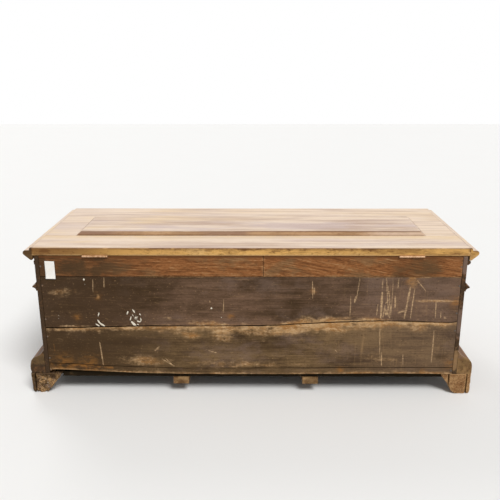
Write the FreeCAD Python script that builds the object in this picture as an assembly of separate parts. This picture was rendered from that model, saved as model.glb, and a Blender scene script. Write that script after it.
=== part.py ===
"""A low, long mule chest: a hinged, panelled lid over a well, and two drawers below the well.

Millimetres. The origin is on the floor under the middle of the chest's outline. +Z is up and the drawers
face -Y. Left and right are as seen from the front, so left is -X.
"""

import math
import os

import FreeCAD
import Part
from FreeCAD import Vector

# Case
CASE_W = 1430.0  # over the end boards
CASE_D = 555.0  # front framing to back boards
END_T = 24.0
FRONT_T = 24.0  # thickness of the front framing
FOOT_H = 76.0  # floor to the underside of the ends

# Front framing, from the bottom up
BOTTOM_RAIL_H = 92.0
DRAWER_OPENING_H = 106.0
PANEL_OPENING_H = 72.0
FRIEZE_H = 132.0
STILE_W = 60.0
POST_W = 50.0  # muntin between the panels, and post between the drawers
TENON_T = 8.0  # also the width of the panel grooves
TENON_L = 25.0  # rails into stiles
POST_WEB = 6.0  # wood left in the middle rail between the muntin's and the post's tenons
TENON_SHOULDER = 1.0  # past the panel grooves
PANEL_TONGUE = 5.0  # how far a panel enters its groove
PANEL_PLAY = 1.0  # room left at the bottom of a groove
FIELD_GAP = 0.5  # between a raised field and the frame round it
PANEL_PROUD = 2.0  # front panels' field past the framing
PANEL_BEVEL = 20.0

# Back
BACK_T = 15.0
BACK_LAP = 9.0  # how far the back boards lap onto the end boards
BACK_RAIL_H = 71.0
BACK_RAIL_EDGE = 6.0  # wood left in front of a hinge leaf
BACK_RAIL_JOINT = -43.0  # where the rail's two lengths meet
BACK_STRIP_H = 26.0
LOWER_BOARD_H_LEFT = 170.0  # the lower board tapers along its length
LOWER_BOARD_H_RIGHT = 145.0
NAIL_R = 1.3
NAIL_L = 34.0
NAIL_HEAD_R = 3.0
NAIL_HEAD_T = 1.0
NAIL_FIT = 0.05
NAIL_EDGE = 32.0  # nails from a board's edge

# Well floor
FLOOR_T = 18.0
FLOOR_SHELF = 20.0  # depth of the middle rail's shelf under the floor
FLOOR_SHELF_T = 8.0
FLOOR_CLEAT = 20.0
FLOOR_BOARD_W = 270.0  # front board of two

# Bottom
BOTTOM_T = 18.0
BOTTOM_BOARDS = 3
BOTTOM_SETBACK = 14.0  # behind the face of the back
BATTEN_W = 54.0
BATTEN_H = 24.0
BATTEN_SETBACK = 5.0
BATTEN_X = (243.0, -209.0)

# Mouldings: how far each stands out, and how tall it is
BASE_OUT = 52.0
BASE_H = 83.0
WAIST_OUT = 15.5
WAIST_H = 31.0
WAIST_UP = 9.0  # above the panel opening
TOP_OUT = 10.0
TOP_H = 14.0
TOP_GAP = 2.0  # under the lid's lip
LID_MOULD_OUT = 30.0

# Feet
FOOT_T = 17.0  # bracket boards
FOOT_W = 112.0
FOOT_TOE = 48.0  # length of a bracket on the floor
FOOT_BLOCK = 60.0
REAR_FOOT_T = 34.0
REAR_FOOT_W = {"left": 74.0, "right": 109.0}
REAR_FOOT_TOE = {"left": 60.0, "right": 54.0}
REAR_FOOT_UPRIGHT = {"left": 30.0, "right": 14.0}  # upright part of the inner edge, above its slope

# Lid
LID_OVERHANG = 5.0  # ends and front
LID_T = 28.0
LID_GAP = 1.0  # between case and lid
LID_LIP = 15.0  # how far the moulding drops below the lid
LID_RAIL_W = 150.0
LID_STILE_W = 108.0
LID_TENON_T = 10.0
LID_TENON_L = 30.0
LID_TENON_SHOULDER = 6.0  # past the panel groove
LID_TONGUE = 8.0
LID_RISE = 12.0  # raised field above the frame
LID_BEVEL = 15.0
LID_PANEL_JOINT = 258.0  # joint of the panel's two boards, from the lid's back edge

# Hinges
HINGE_L = 84.0
HINGE_X = (512.0, -530.0)
LEAF_D = 20.0
LEAF_T = 2.0
LEAF_GAP = 0.2  # between the closed leaves
LEAF_FIT = 0.2  # round a leaf in its recess
KNUCKLES = 5
KNUCKLE_WALL = 1.6
KNUCKLE_GAP = 0.4
PIN_R = 1.6
PIN_FIT = 0.05
SCREW_R = 2.0
SCREW_HEAD_R = 3.6
SCREW_L = 18.0
SCREW_FIT = 0.05
SCREWS = 3  # in each leaf

# Drawers
DRAWER_GAP = 1.5  # round a front in its opening
DRAWER_RUN = 0.3  # under the sides, on the runners
DRAWER_REAR_GAP = 8.0
DRAWER_FRONT_T = 22.0
DRAWER_SIDE_T = 14.0
DRAWER_SIDE_DROP = 13.7  # sides below the top of the opening
DRAWER_BACK_T = 12.0
DRAWER_BACK_DROP = 6.0  # back below the top of the sides
DRAWER_BACK_INSET = 20.0  # sides run on behind the back
DRAWER_HOUSING = 5.0
DRAWER_BOTTOM_T = 8.0
DRAWER_BOTTOM_UP = 8.0
DRAWER_GROOVE = 6.0
DOVETAILS = 3
TAIL_SPACE = 9.0  # between two tails at their tips
TAIL_FLARE = 3.0  # how much wider a tail is at its tip, on each side
TAIL_LAP = 6.0  # wood left in front of the tails
FIELD_MARGIN = 14.0
FIELD_BEVEL = 10.0
FIELD_RISE = 6.0
RUNNER_H = 28.0
RUNNER_SUPPORT = 30.0  # width of runner under a drawer's side
GUIDE_H = 22.0
KNOB_R = 17.0
KNOB_L = 32.0  # how far a knob stands out
KNOB_RIM = 5.0  # rounding of the rim
KNOB_DOME = 8.0
KNOB_NECK_R = 8.5
KNOB_SEAT_R = 12.0
KNOB_SEAT_T = 2.0
KNOB_SPIGOT_R = 6.0
KNOB_SPIGOT_L = 16.0
KNOB_FIT = 0.05
KNOB_SHARE = 0.213  # of a drawer's width, from each end to a knob

# Moulding profiles, as shares of each moulding's own depth and height, from the top of its inner face.
# Two numbers are a straight run to a point, four are an arc through one point to another.
LID_PROFILE = [(0.22, 1.0), (0.30, 0.77), (0.72, 0.77), (0.93, 0.72, 1.0, 0.585), (0.975, 0.49, 0.90, 0.42),
               (0.20, 0.0), (0.0, 0.0)]
TOP_PROFILE = [(1.0, 1.0), (1.0, 0.8), (0.82, 0.36, 0.36, 0.16), (0.36, 0.0), (0.0, 0.0)]
WAIST_PROFILE = [(0.2, 1.0), (0.38, 0.73, 0.77, 0.63), (1.0, 0.5, 0.77, 0.39), (0.70, 0.39),
                 (0.33, 0.24, 0.2, 0.0), (0.0, 0.0)]
BASE_PROFILE = [(0.08, 1.0), (0.08, 0.965), (0.27, 0.84, 0.52, 0.75), (0.866, 0.606, 1.0, 0.36),
                (1.0, 0.0), (0.0, 0.0)]
# A bracket's inner edge, as shares from the toe to the full width and from the floor to the top.
BRACKET_EDGE = [(0.08, 0.14), (0.13, 0.50, 0.52, 0.66), (0.52, 0.72), (0.83, 0.79, 1.0, 1.0)]

# Levels and planes worked out from the sizes above
drawer_z0 = FOOT_H + BOTTOM_RAIL_H
drawer_z1 = drawer_z0 + DRAWER_OPENING_H
well_z = drawer_z1 + FLOOR_SHELF_T + FLOOR_T
panel_z1 = well_z + PANEL_OPENING_H
case_top = panel_z1 + FRIEZE_H
half = CASE_W / 2
inner = half - END_T
stile_x = half - STILE_W
post_x = POST_W / 2
knuckle_r = PIN_R + KNUCKLE_WALL
pin_behind = knuckle_r + KNUCKLE_GAP
front = -(BASE_OUT + CASE_D + pin_behind + knuckle_r) / 2 + BASE_OUT
back = front + CASE_D
back_in = back - BACK_T
frame_in = front + FRONT_T
groove = PANEL_TONGUE + PANEL_PLAY
shoulder = groove + TENON_SHOULDER
post_tenon_l = (well_z - drawer_z1 - POST_WEB) / 2
tongue_y = (front + (FRONT_T - TENON_T) / 2, front + (FRONT_T + TENON_T) / 2)
base_half = half + BASE_OUT
base_front = front - BASE_OUT
bottom_z = FOOT_H - BOTTOM_T
rail_z = case_top - BACK_RAIL_H
strip_z = FOOT_H + BACK_STRIP_H
lap_x = inner + BACK_LAP

lid_z0 = case_top + LID_GAP
lid_z1 = lid_z0 + LID_T
lip_z = lid_z0 - LID_LIP
lid_half = half + LID_OVERHANG
lid_front = front - LID_OVERHANG
lid_open_x = lid_half - LID_STILE_W
lid_open_y = (lid_front + LID_RAIL_W, back - LID_RAIL_W)
lid_groove = LID_TONGUE + PANEL_PLAY
lid_tongue_z = (lid_z0 + (LID_T - LID_TENON_T) / 2, lid_z0 + (LID_T + LID_TENON_T) / 2)
pin_y = back + pin_behind
pin_z = case_top + LID_GAP / 2

SIDES = {"left": -1, "right": 1}
parts = {}


# Shape helpers

def box(x, y, z):
    """A box between two values on each axis, given in either order."""
    low = Vector(min(x), min(y), min(z))
    size = Vector(max(x), max(y), max(z)) - low
    return Part.makeBox(size.x, size.y, size.z, low)


def cylinder(radius, length, base, direction):
    return Part.makeCylinder(radius, length, base, direction)


def join(solid, *others):
    return solid.fuse(list(others)).removeSplitter().Solids[0]


def cut(solid, *others):
    return solid.cut(list(others)).Solids[0]


def outline(start, steps, place):
    """A flat face whose edge goes from start through steps and back, each point placed by place(u, v)."""
    edges = []
    here = place(*start)
    for step in steps:
        there = place(*step[-2:])
        if len(step) == 4:
            edges.append(Part.Arc(here, place(*step[:2]), there).toShape())
        else:
            edges.append(Part.LineSegment(here, there).toShape())
        here = there
    edges.append(Part.LineSegment(here, place(*start)).toShape())
    return Part.Face(Part.Wire(edges))


def prism(start, steps, place, along):
    return outline(start, steps, place).extrude(along)


def scaled(profile, width, height, shift=0.0):
    """A profile's shares as real sizes, with shift added to each width."""
    size = (width, height)
    add = (shift, 0.0)
    return [tuple(share * size[k % 2] + add[k % 2] for k, share in enumerate(step)) for step in profile]


def slope(low_rectangle, high_rectangle, place_low, place_high):
    """A block whose two parallel faces are rectangles of different sizes, each ((u0, u1), (v0, v1))."""
    wires = []
    for ((u0, u1), (v0, v1)), place in ((low_rectangle, place_low), (high_rectangle, place_high)):
        corners = [place(u0, v0), place(u1, v0), place(u1, v1), place(u0, v1)]
        wires.append(Part.makePolygon(corners + corners[:1]))
    return Part.makeLoft(wires, True, True)


def inset(span, distance):
    return (span[0] + distance, span[1] - distance)


def mitre(side, corner_x, corner_y, reach, z, run):
    """The wedge past the diagonal of a corner, taken off the front run or the end run that meets there."""
    corner = (side * corner_x, corner_y)
    diagonal = (side * (corner_x + reach), corner_y - reach)
    third = (diagonal[0], corner_y) if run == "front" else (corner[0], diagonal[1])
    points = [Vector(x, y, z[0]) for x, y in (corner, diagonal, third, corner)]
    return Part.Face(Part.makePolygon(points)).extrude(Vector(0, 0, z[1] - z[0]))


def moulding(profile, out, z, corner_x, corner_y):
    """The front run and both end runs of a moulding, mitred at the front corners."""
    height = z[1] - z[0]
    reach = 2 * out
    steps = scaled(profile, out, height)
    runs = {}
    front_run = prism((0, height), steps, lambda u, v: Vector(-corner_x - out, corner_y - u, z[0] + v),
                      Vector(2 * (corner_x + out), 0, 0))
    for name, side in SIDES.items():
        front_run = cut(front_run, mitre(side, corner_x, corner_y, reach, z, "front"))
        end_run = prism((0, height), steps,
                        lambda u, v: Vector(side * (corner_x + u), corner_y - out, z[0] + v),
                        Vector(0, back - corner_y + out, 0))
        runs[name] = cut(end_run, mitre(side, corner_x, corner_y, reach, z, "end"))
    runs["front"] = front_run
    return runs


# Hinges

def screw(x, y, z, way, fit=0.0):
    """A countersunk screw, or its hole with fit round it: flush at z, going up (way 1) or down (way -1)."""
    place = Vector(x, y, z)
    direction = Vector(0, 0, way)
    head = Part.makeCone(SCREW_HEAD_R + fit, SCREW_R + fit, LEAF_T, place, direction)
    shank = cylinder(SCREW_R + fit, SCREW_L + fit, place, direction)
    return join(head, shank)


def hinge_leaf(x_mid, way):
    """A leaf let into the lid (way 1) or the case (way -1), its screws, and the wood that they take."""
    face = pin_z + way * LEAF_GAP / 2
    z = (face, face + way * LEAF_T)
    x = (x_mid - HINGE_L / 2, x_mid + HINGE_L / 2)
    leaf = box(x, (back - LEAF_D, back), z)
    bore = cylinder(PIN_R + PIN_FIT, HINGE_L, Vector(x[0], pin_y, pin_z), Vector(1, 0, 0))
    pitch = HINGE_L / KNUCKLES
    knuckles = []
    for number in range(0 if way < 0 else 1, KNUCKLES, 2):
        span = inset((x[0] + number * pitch, x[0] + (number + 1) * pitch), KNUCKLE_GAP / 2)
        barrel_end = Vector(span[0], pin_y, pin_z)
        knuckles.append(cylinder(knuckle_r, span[1] - span[0], barrel_end, Vector(1, 0, 0)))
        knuckles.append(box(span, (back - LEAF_D / 2, pin_y), z))
    places = [(x[0] + (k + 0.5) * HINGE_L / SCREWS, back - LEAF_D / 2, face, way) for k in range(SCREWS)]
    holes = [screw(*place, SCREW_FIT) for place in places]
    leaf = cut(join(leaf, *knuckles), bore, *holes)
    recess = box((x[0] - LEAF_FIT, x[1] + LEAF_FIT), (back - LEAF_D - LEAF_FIT, back), z)
    return leaf, [screw(*place) for place in places], [recess] + holes


recesses = {}
for piece, way in (("case", -1), ("lid", 1)):
    made = [hinge_leaf(x, way) for x in HINGE_X]
    parts[f"hinge_{piece}_leaves"] = [leaf for leaf, _, _ in made]
    parts[f"hinge_{piece}_screws"] = [one for _, screws, _ in made for one in screws]
    recesses[piece] = [one for _, _, wood in made for one in wood]
parts["hinge_pins"] = [
    cylinder(PIN_R, HINGE_L, Vector(x - HINGE_L / 2, pin_y, pin_z), Vector(1, 0, 0)) for x in HINGE_X
]


# Front framing

def rail_tenon(side, z):
    return box((side * stile_x, side * (stile_x + TENON_L)), tongue_y, inset(z, shoulder))


def post_tenon(z):
    return box((-post_x + shoulder, post_x - shoulder), tongue_y, z)


bottom_rail_z = (FOOT_H, drawer_z0)
middle_rail_z = (drawer_z1, well_z)
frieze_z = (panel_z1, case_top)
muntin_tenons = [
    post_tenon((well_z - post_tenon_l, well_z)),
    post_tenon((panel_z1, panel_z1 + post_tenon_l)),
]
post_tenons = [
    post_tenon((drawer_z0 - post_tenon_l, drawer_z0)),
    post_tenon((drawer_z1, drawer_z1 + post_tenon_l)),
]
groove_z = (well_z - groove, panel_z1 + groove)
panel_grooves = {
    name: box((side * (post_x - groove), side * (stile_x + groove)), tongue_y, groove_z)
    for name, side in SIDES.items()
}


def rail(z, depth):
    """A rail of the front framing between the stiles, with its tenons and the joints cut in it."""
    body = box((-stile_x, stile_x), (front, front + depth), z)
    body = join(body, *[rail_tenon(side, z) for side in SIDES.values()])
    return cut(body, *muntin_tenons, *post_tenons)


middle_rail = cut(
    rail(middle_rail_z, FRONT_T + FLOOR_SHELF),
    box((-stile_x, stile_x), (frame_in, frame_in + FLOOR_SHELF), (well_z - FLOOR_T, well_z)),
)
parts["front_bottom_rail"] = [rail(bottom_rail_z, FRONT_T)]
parts["front_middle_rail"] = [cut(middle_rail, *panel_grooves.values())]
parts["frieze_rail"] = [cut(rail(frieze_z, FRONT_T), *panel_grooves.values())]

muntin = box((-post_x, post_x), (front, frame_in), (well_z, panel_z1))
parts["front_muntin"] = [join(cut(muntin, *panel_grooves.values()), *muntin_tenons)]
post = box((-post_x, post_x), (front, frame_in), (drawer_z0, drawer_z1))
parts["drawer_post"] = [join(post, *post_tenons)]

for name, side in SIDES.items():
    mortises = [rail_tenon(side, z) for z in (bottom_rail_z, middle_rail_z, frieze_z)]
    stile = box((side * stile_x, side * half), (front, frame_in), (FOOT_H, case_top))
    parts[f"front_stile_{name}"] = [cut(stile, panel_grooves[name], *mortises)]

    opening_x = sorted((side * post_x, side * stile_x))
    opening_z = (well_z, panel_z1)
    tongue = box(inset(opening_x, -PANEL_TONGUE), tongue_y, inset(opening_z, -PANEL_TONGUE))
    foot_of_bevel = (inset(opening_x, FIELD_GAP), inset(opening_z, FIELD_GAP))
    top_of_bevel = (inset(opening_x, PANEL_BEVEL), inset(opening_z, PANEL_BEVEL))
    field = slope(foot_of_bevel, top_of_bevel, lambda u, v: Vector(u, tongue_y[0], v),
                  lambda u, v: Vector(u, front - PANEL_PROUD, v))
    parts[f"front_panel_{name}"] = [join(tongue, field)]


# Back, ends and nails

def joint_z(x):
    """Height of the sloping joint between the lower and upper back boards."""
    share = (x + lap_x) / (2 * lap_x)
    return strip_z + LOWER_BOARD_H_LEFT + share * (LOWER_BOARD_H_RIGHT - LOWER_BOARD_H_LEFT)


def nail(x, z, fit=0.0):
    """A nail driven flush from behind, or its hole with fit round it."""
    head = cylinder(NAIL_HEAD_R + fit, NAIL_HEAD_T, Vector(x, back, z), Vector(0, -1, 0))
    shank = cylinder(NAIL_R + fit, NAIL_L + fit, Vector(x, back, z), Vector(0, -1, 0))
    return join(head, shank)


def back_board(corners):
    return prism(corners[0], corners[1:], lambda u, v: Vector(u, back_in, v), Vector(0, BACK_T, 0))


nail_places = []
for side in SIDES.values():
    x = side * (inner + BACK_LAP / 2)
    heights = [FOOT_H + BACK_STRIP_H / 2, strip_z + NAIL_EDGE, joint_z(x) - NAIL_EDGE,
               joint_z(x) + NAIL_EDGE, rail_z - NAIL_EDGE, rail_z + BACK_RAIL_H / 2]
    nail_places += [(x, z) for z in heights]
nail_holes = [nail(x, z, NAIL_FIT) for x, z in nail_places]
parts["back_nails"] = [nail(x, z) for x, z in nail_places]

joint_ends = [(-lap_x, joint_z(-lap_x)), (lap_x, joint_z(lap_x))]
lower = back_board([(-lap_x, strip_z), (lap_x, strip_z), *reversed(joint_ends)])
upper = back_board([*joint_ends, (lap_x, rail_z), (-lap_x, rail_z)])
strip = back_board([(-lap_x, FOOT_H), (lap_x, FOOT_H), (lap_x, strip_z), (-lap_x, strip_z)])
parts["back_lower_board"] = [cut(lower, *nail_holes)]
parts["back_upper_board"] = [cut(upper, *nail_holes)]
parts["back_bottom_strip"] = [cut(strip, *nail_holes)]

for name, side in SIDES.items():
    rail_thick = box((BACK_RAIL_JOINT, side * inner), (back - LEAF_D - BACK_RAIL_EDGE, back),
                     (rail_z, case_top))
    rail_lap = box((side * inner, side * lap_x), (back_in, back), (rail_z, case_top))
    parts[f"back_top_rail_{name}"] = [cut(join(rail_thick, rail_lap), *recesses["case"], *nail_holes)]

    end = box((side * inner, side * half), (frame_in, back), (FOOT_H, case_top))
    rebate = box((side * inner, side * lap_x), (back_in, back), (FOOT_H, case_top))
    parts[f"end_{name}"] = [cut(end, rebate, *nail_holes)]

# Well floor

floor_z = (well_z - FLOOR_T, well_z)
floor_joint = frame_in + FLOOR_BOARD_W
parts["well_floor"] = [
    box((-inner, inner), (frame_in, floor_joint), floor_z),
    box((-inner, inner), (floor_joint, back_in), floor_z),
]
cleat_z = (well_z - FLOOR_T - FLOOR_CLEAT, well_z - FLOOR_T)
cleat_x = inner - FLOOR_CLEAT
parts["well_floor_cleats"] = [box((-cleat_x, cleat_x), (back_in - FLOOR_CLEAT, back_in), cleat_z)] + [
    box((side * cleat_x, side * inner), (frame_in, back_in), cleat_z) for side in SIDES.values()
]

# Bottom boards, battens and feet

bracket_edge = scaled(BRACKET_EDGE, FOOT_W - FOOT_TOE, FOOT_H, FOOT_TOE)
bracket_steps = [(FOOT_TOE, 0), *bracket_edge, (0, FOOT_H)]

rear_blocks = []
foot_blocks = []
foot_z = (0, FOOT_H)
block_x = base_half - FOOT_T
block_y = base_front + FOOT_T
for name, side in SIDES.items():
    front_bracket = prism((0, 0), bracket_steps, lambda u, v: Vector(side * (base_half - u), base_front, v),
                          Vector(0, FOOT_T, 0))
    end_bracket = prism((0, 0), bracket_steps, lambda u, v: Vector(side * base_half, base_front + u, v),
                        Vector(-side * FOOT_T, 0, 0))
    rear_bracket = prism((0, 0), bracket_steps, lambda u, v: Vector(side * base_half, back - u, v),
                         Vector(-side * FOOT_T, 0, 0))
    wedges = [mitre(side, block_x, block_y, 2 * FOOT_T, foot_z, run) for run in ("front", "end")]
    parts[f"front_{name}_foot"] = [cut(front_bracket, wedges[0]), cut(end_bracket, wedges[1])]

    block_steps = [(REAR_FOOT_TOE[name], 0), (REAR_FOOT_W[name], FOOT_H - REAR_FOOT_UPRIGHT[name]),
                   (REAR_FOOT_W[name], FOOT_H), (FOOT_T, FOOT_H)]
    rear_block = prism((FOOT_T, 0), block_steps, lambda u, v: Vector(side * (base_half - u), back, v),
                       Vector(0, -REAR_FOOT_T, 0))
    rear_blocks.append(rear_block)
    parts[f"rear_{name}_foot"] = [rear_bracket, rear_block]
    foot_blocks.append(box((side * block_x, side * (block_x - FOOT_BLOCK)), (block_y, block_y + FOOT_BLOCK),
                           (0, bottom_z)))
parts["foot_blocks"] = foot_blocks

bottom_y = (front, back - BOTTOM_SETBACK)
board_d = (bottom_y[1] - bottom_y[0]) / BOTTOM_BOARDS
board_edges = [bottom_y[0] + k * board_d for k in range(BOTTOM_BOARDS + 1)]
parts["bottom_boards"] = [
    cut(box((-half, half), edges, (bottom_z, FOOT_H)), *rear_blocks)
    for edges in zip(board_edges, board_edges[1:])
]
batten_y = (front, back - BATTEN_SETBACK)
batten_z = (bottom_z - BATTEN_H, bottom_z)
parts["bottom_battens"] = [
    box((x - BATTEN_W / 2, x + BATTEN_W / 2), batten_y, batten_z) for x in BATTEN_X
]

# Mouldings

base_z = (FOOT_H, FOOT_H + BASE_H)
for name, run in moulding(BASE_PROFILE, BASE_OUT, base_z, half, front).items():
    parts[f"base_moulding_{name}"] = [run]
waist_z = (panel_z1 + WAIST_UP, panel_z1 + WAIST_UP + WAIST_H)
parts["waist_moulding"] = list(moulding(WAIST_PROFILE, WAIST_OUT, waist_z, half, front).values())
top_z = (lip_z - TOP_GAP - TOP_H, lip_z - TOP_GAP)
parts["top_moulding"] = list(moulding(TOP_PROFILE, TOP_OUT, top_z, half, front).values())
for name, run in moulding(LID_PROFILE, LID_MOULD_OUT, (lip_z, lid_z1), lid_half, lid_front).items():
    parts[f"lid_moulding_{name}"] = [run]

# Lid frame and panel

open_x = (-lid_open_x, lid_open_x)
panel_groove = box(inset(open_x, -lid_groove), inset(lid_open_y, -lid_groove), lid_tongue_z)
lid_shoulder = lid_groove + LID_TENON_SHOULDER
stile_tenons = {
    name: box((side * (lid_open_x + lid_shoulder), side * (lid_half - lid_shoulder)),
              inset(lid_open_y, -LID_TENON_L), lid_tongue_z)
    for name, side in SIDES.items()
}
lid_z = (lid_z0, lid_z1)
back_rail = box((-lid_half, lid_half), (lid_open_y[1], back), lid_z)
front_rail = box((-lid_half, lid_half), (lid_front, lid_open_y[0]), lid_z)
parts["lid_rail_back"] = [cut(back_rail, panel_groove, *stile_tenons.values(), *recesses["lid"])]
parts["lid_rail_front"] = [cut(front_rail, panel_groove, *stile_tenons.values())]
for name, side in SIDES.items():
    stile = box((side * lid_open_x, side * lid_half), lid_open_y, lid_z)
    parts[f"lid_stile_{name}"] = [join(cut(stile, panel_groove), stile_tenons[name])]

tongue = box(inset(open_x, -LID_TONGUE), inset(lid_open_y, -LID_TONGUE), lid_tongue_z)
wall = box(inset(open_x, FIELD_GAP), inset(lid_open_y, FIELD_GAP), (lid_tongue_z[0], lid_z1))
foot_of_bevel = (inset(open_x, FIELD_GAP), inset(lid_open_y, FIELD_GAP))
top_of_bevel = (inset(open_x, FIELD_GAP + LID_BEVEL), inset(lid_open_y, FIELD_GAP + LID_BEVEL))
field = slope(foot_of_bevel, top_of_bevel, lambda u, v: Vector(u, v, lid_z1),
              lambda u, v: Vector(u, v, lid_z1 + LID_RISE))
panel = join(tongue, wall, field)
panel_joint_y = back - LID_PANEL_JOINT
panel_z = (lid_z0, lid_z1 + LID_RISE)
panel_x = (-lid_half, lid_half)
parts["lid_panel"] = [
    cut(panel, box(panel_x, (panel_joint_y, back), panel_z)),
    cut(panel, box(panel_x, (lid_front, panel_joint_y), panel_z)),
]

# Drawers and their runners

runner_y = (frame_in, back_in)
runner_z = (drawer_z0 - RUNNER_H, drawer_z0)
guide_z = (drawer_z0, drawer_z0 + GUIDE_H)
parts["drawer_runner_centre"] = [
    box((-post_x - RUNNER_SUPPORT, post_x + RUNNER_SUPPORT), runner_y, runner_z),
    box((-post_x, post_x), runner_y, guide_z),
]
for name, side in SIDES.items():
    parts[f"drawer_runner_{name}"] = [
        box((side * (stile_x - RUNNER_SUPPORT), side * inner), runner_y, runner_z),
        box((side * stile_x, side * inner), runner_y, guide_z),
    ]


def knob(x, z):
    """A turned knob on a drawer's raised field, with its spigot, about the -Y direction."""
    face = front - FIELD_RISE
    rim_r = KNOB_R - KNOB_RIM
    rim_middle = KNOB_L - KNOB_DOME - KNOB_RIM
    dome_r = (rim_r**2 + KNOB_DOME**2) / (2 * KNOB_DOME)
    dome_turn = math.asin(rim_r / dome_r) / 2
    steps = [
        (KNOB_SEAT_R, 0),
        (KNOB_SEAT_R, KNOB_SEAT_T),
        (KNOB_NECK_R, 2 * KNOB_SEAT_T),
        (KNOB_NECK_R, rim_middle - KNOB_RIM),
        (rim_r, rim_middle - KNOB_RIM),
        (KNOB_R, rim_middle, rim_r, rim_middle + KNOB_RIM),
        (dome_r * math.sin(dome_turn), KNOB_L - dome_r * (1 - math.cos(dome_turn)), 0, KNOB_L),
    ]
    section = outline((0, 0), steps, lambda u, v: Vector(x + u, face - v, z))
    turned = section.revolve(Vector(x, face, z), Vector(0, 1, 0), 360)
    spigot = cylinder(KNOB_SPIGOT_R, KNOB_SPIGOT_L, Vector(x, face, z), Vector(0, 1, 0))
    return join(turned, spigot)


drawer_rear = back_in - FLOOR_CLEAT - DRAWER_REAR_GAP
side_z = (drawer_z0 + DRAWER_RUN, drawer_z1 - DRAWER_SIDE_DROP)
front_in = front + DRAWER_FRONT_T
drawer_bottom_z = (side_z[0] + DRAWER_BOTTOM_UP, side_z[0] + DRAWER_BOTTOM_UP + DRAWER_BOTTOM_T)
for name, side in SIDES.items():
    x = inset(sorted((side * post_x, side * stile_x)), DRAWER_GAP)
    z = inset((drawer_z0, drawer_z1), DRAWER_GAP)
    x_in = inset(x, DRAWER_SIDE_T)
    back_y = (drawer_rear - DRAWER_BACK_INSET - DRAWER_BACK_T, drawer_rear - DRAWER_BACK_INSET)
    bottom = box(inset(x_in, -DRAWER_GROOVE), (front_in - DRAWER_GROOVE, back_y[1]), drawer_bottom_z)
    drawer_back = box(inset(x_in, -DRAWER_HOUSING), back_y,
                      (drawer_bottom_z[1], side_z[1] - DRAWER_BACK_DROP))

    tail_pitch = (side_z[1] - side_z[0]) / DOVETAILS
    tail_tip = (tail_pitch - TAIL_SPACE) / 2
    tail_base = tail_tip - TAIL_FLARE
    tail_front = front + TAIL_LAP
    all_tails = []
    for side_name, span in (("left", (x[0], x_in[0])), ("right", (x_in[1], x[1]))):
        tails = []
        for k in range(DOVETAILS):
            middle = side_z[0] + (k + 0.5) * tail_pitch
            steps = [(tail_front, middle - tail_tip), (tail_front, middle + tail_tip),
                     (front_in, middle + tail_base)]
            tails.append(prism((front_in, middle - tail_base), steps,
                               lambda u, v: Vector(span[0], u, v), Vector(span[1] - span[0], 0, 0)))
        all_tails += tails
        board = join(box(span, (front_in, drawer_rear), side_z), *tails)
        parts[f"drawer_{name}_side_{side_name}"] = [cut(board, bottom, drawer_back)]

    knob_x = inset(x, KNOB_SHARE * (x[1] - x[0]))
    knob_z = sum(z) / 2
    spigot_holes = [cylinder(KNOB_SPIGOT_R + KNOB_FIT, KNOB_SPIGOT_L + KNOB_FIT,
                             Vector(at, front - FIELD_RISE, knob_z), Vector(0, 1, 0)) for at in knob_x]
    field = slope((inset(x, FIELD_MARGIN), inset(z, FIELD_MARGIN)),
                  (inset(x, FIELD_MARGIN + FIELD_BEVEL), inset(z, FIELD_MARGIN + FIELD_BEVEL)),
                  lambda u, v: Vector(u, front, v), lambda u, v: Vector(u, front - FIELD_RISE, v))
    drawer_front = join(box(x, (front, front_in), z), field)
    parts[f"drawer_{name}_front"] = [cut(drawer_front, bottom, *all_tails, *spigot_holes)]
    parts[f"drawer_{name}_back"] = [drawer_back]
    parts[f"drawer_{name}_bottom"] = [bottom]
    parts[f"drawer_{name}_knobs"] = [knob(at, knob_z) for at in knob_x]

os.makedirs("parts", exist_ok=True)
for node, solids in parts.items():
    shape = solids[0] if len(solids) == 1 else Part.makeCompound(solids)
    if not shape.isValid():
        raise ValueError(f"{node} isn't a valid shape")
    shape.exportStep(os.path.join("parts", f"{node}.step"))
print(len(parts), "nodes,", sum(len(solids) for solids in parts.values()), "solids")
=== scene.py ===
"""Dresses the frame of a low, panelled mule chest: worn boards, mouldings, feet and finishes.

Metres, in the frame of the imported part. The chest is seen from behind, and its back is on the +Y side.
"""

import itertools
import math

import bpy
import numpy as np
from mathutils import Matrix, Vector


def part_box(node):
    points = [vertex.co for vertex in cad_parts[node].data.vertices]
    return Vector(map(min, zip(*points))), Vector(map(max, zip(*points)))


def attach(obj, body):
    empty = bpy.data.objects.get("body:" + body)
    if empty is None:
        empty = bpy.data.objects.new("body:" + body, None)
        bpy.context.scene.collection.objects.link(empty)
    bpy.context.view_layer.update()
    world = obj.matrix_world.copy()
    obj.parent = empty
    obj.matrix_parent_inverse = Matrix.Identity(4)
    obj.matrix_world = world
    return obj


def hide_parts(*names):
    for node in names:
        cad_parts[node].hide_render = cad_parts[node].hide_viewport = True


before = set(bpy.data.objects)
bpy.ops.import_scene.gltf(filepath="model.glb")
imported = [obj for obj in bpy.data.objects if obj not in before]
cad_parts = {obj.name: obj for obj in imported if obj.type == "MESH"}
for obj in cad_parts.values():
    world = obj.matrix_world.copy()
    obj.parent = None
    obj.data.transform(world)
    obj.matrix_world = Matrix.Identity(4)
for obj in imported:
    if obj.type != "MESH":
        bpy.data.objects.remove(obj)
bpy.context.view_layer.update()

bl_info = {
    "name": "Mule chest",
    "version": (1, 0, 0),
    "blender": (4, 5, 0),
    "location": "3D View > Sidebar > Chest",
    "description": "Worn boards, mouldings, feet and finishes of a panelled mule chest",
    "category": "Object",
}

X, Y, Z = range(3)
AXES = {X: (X, Y, Z), Y: (Y, Z, X), Z: (Z, X, Y)}
SIDES = {"left": -1, "right": 1}
RUNS = {**SIDES, "front": 0}


# Sizes and colours that a user would change

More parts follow.
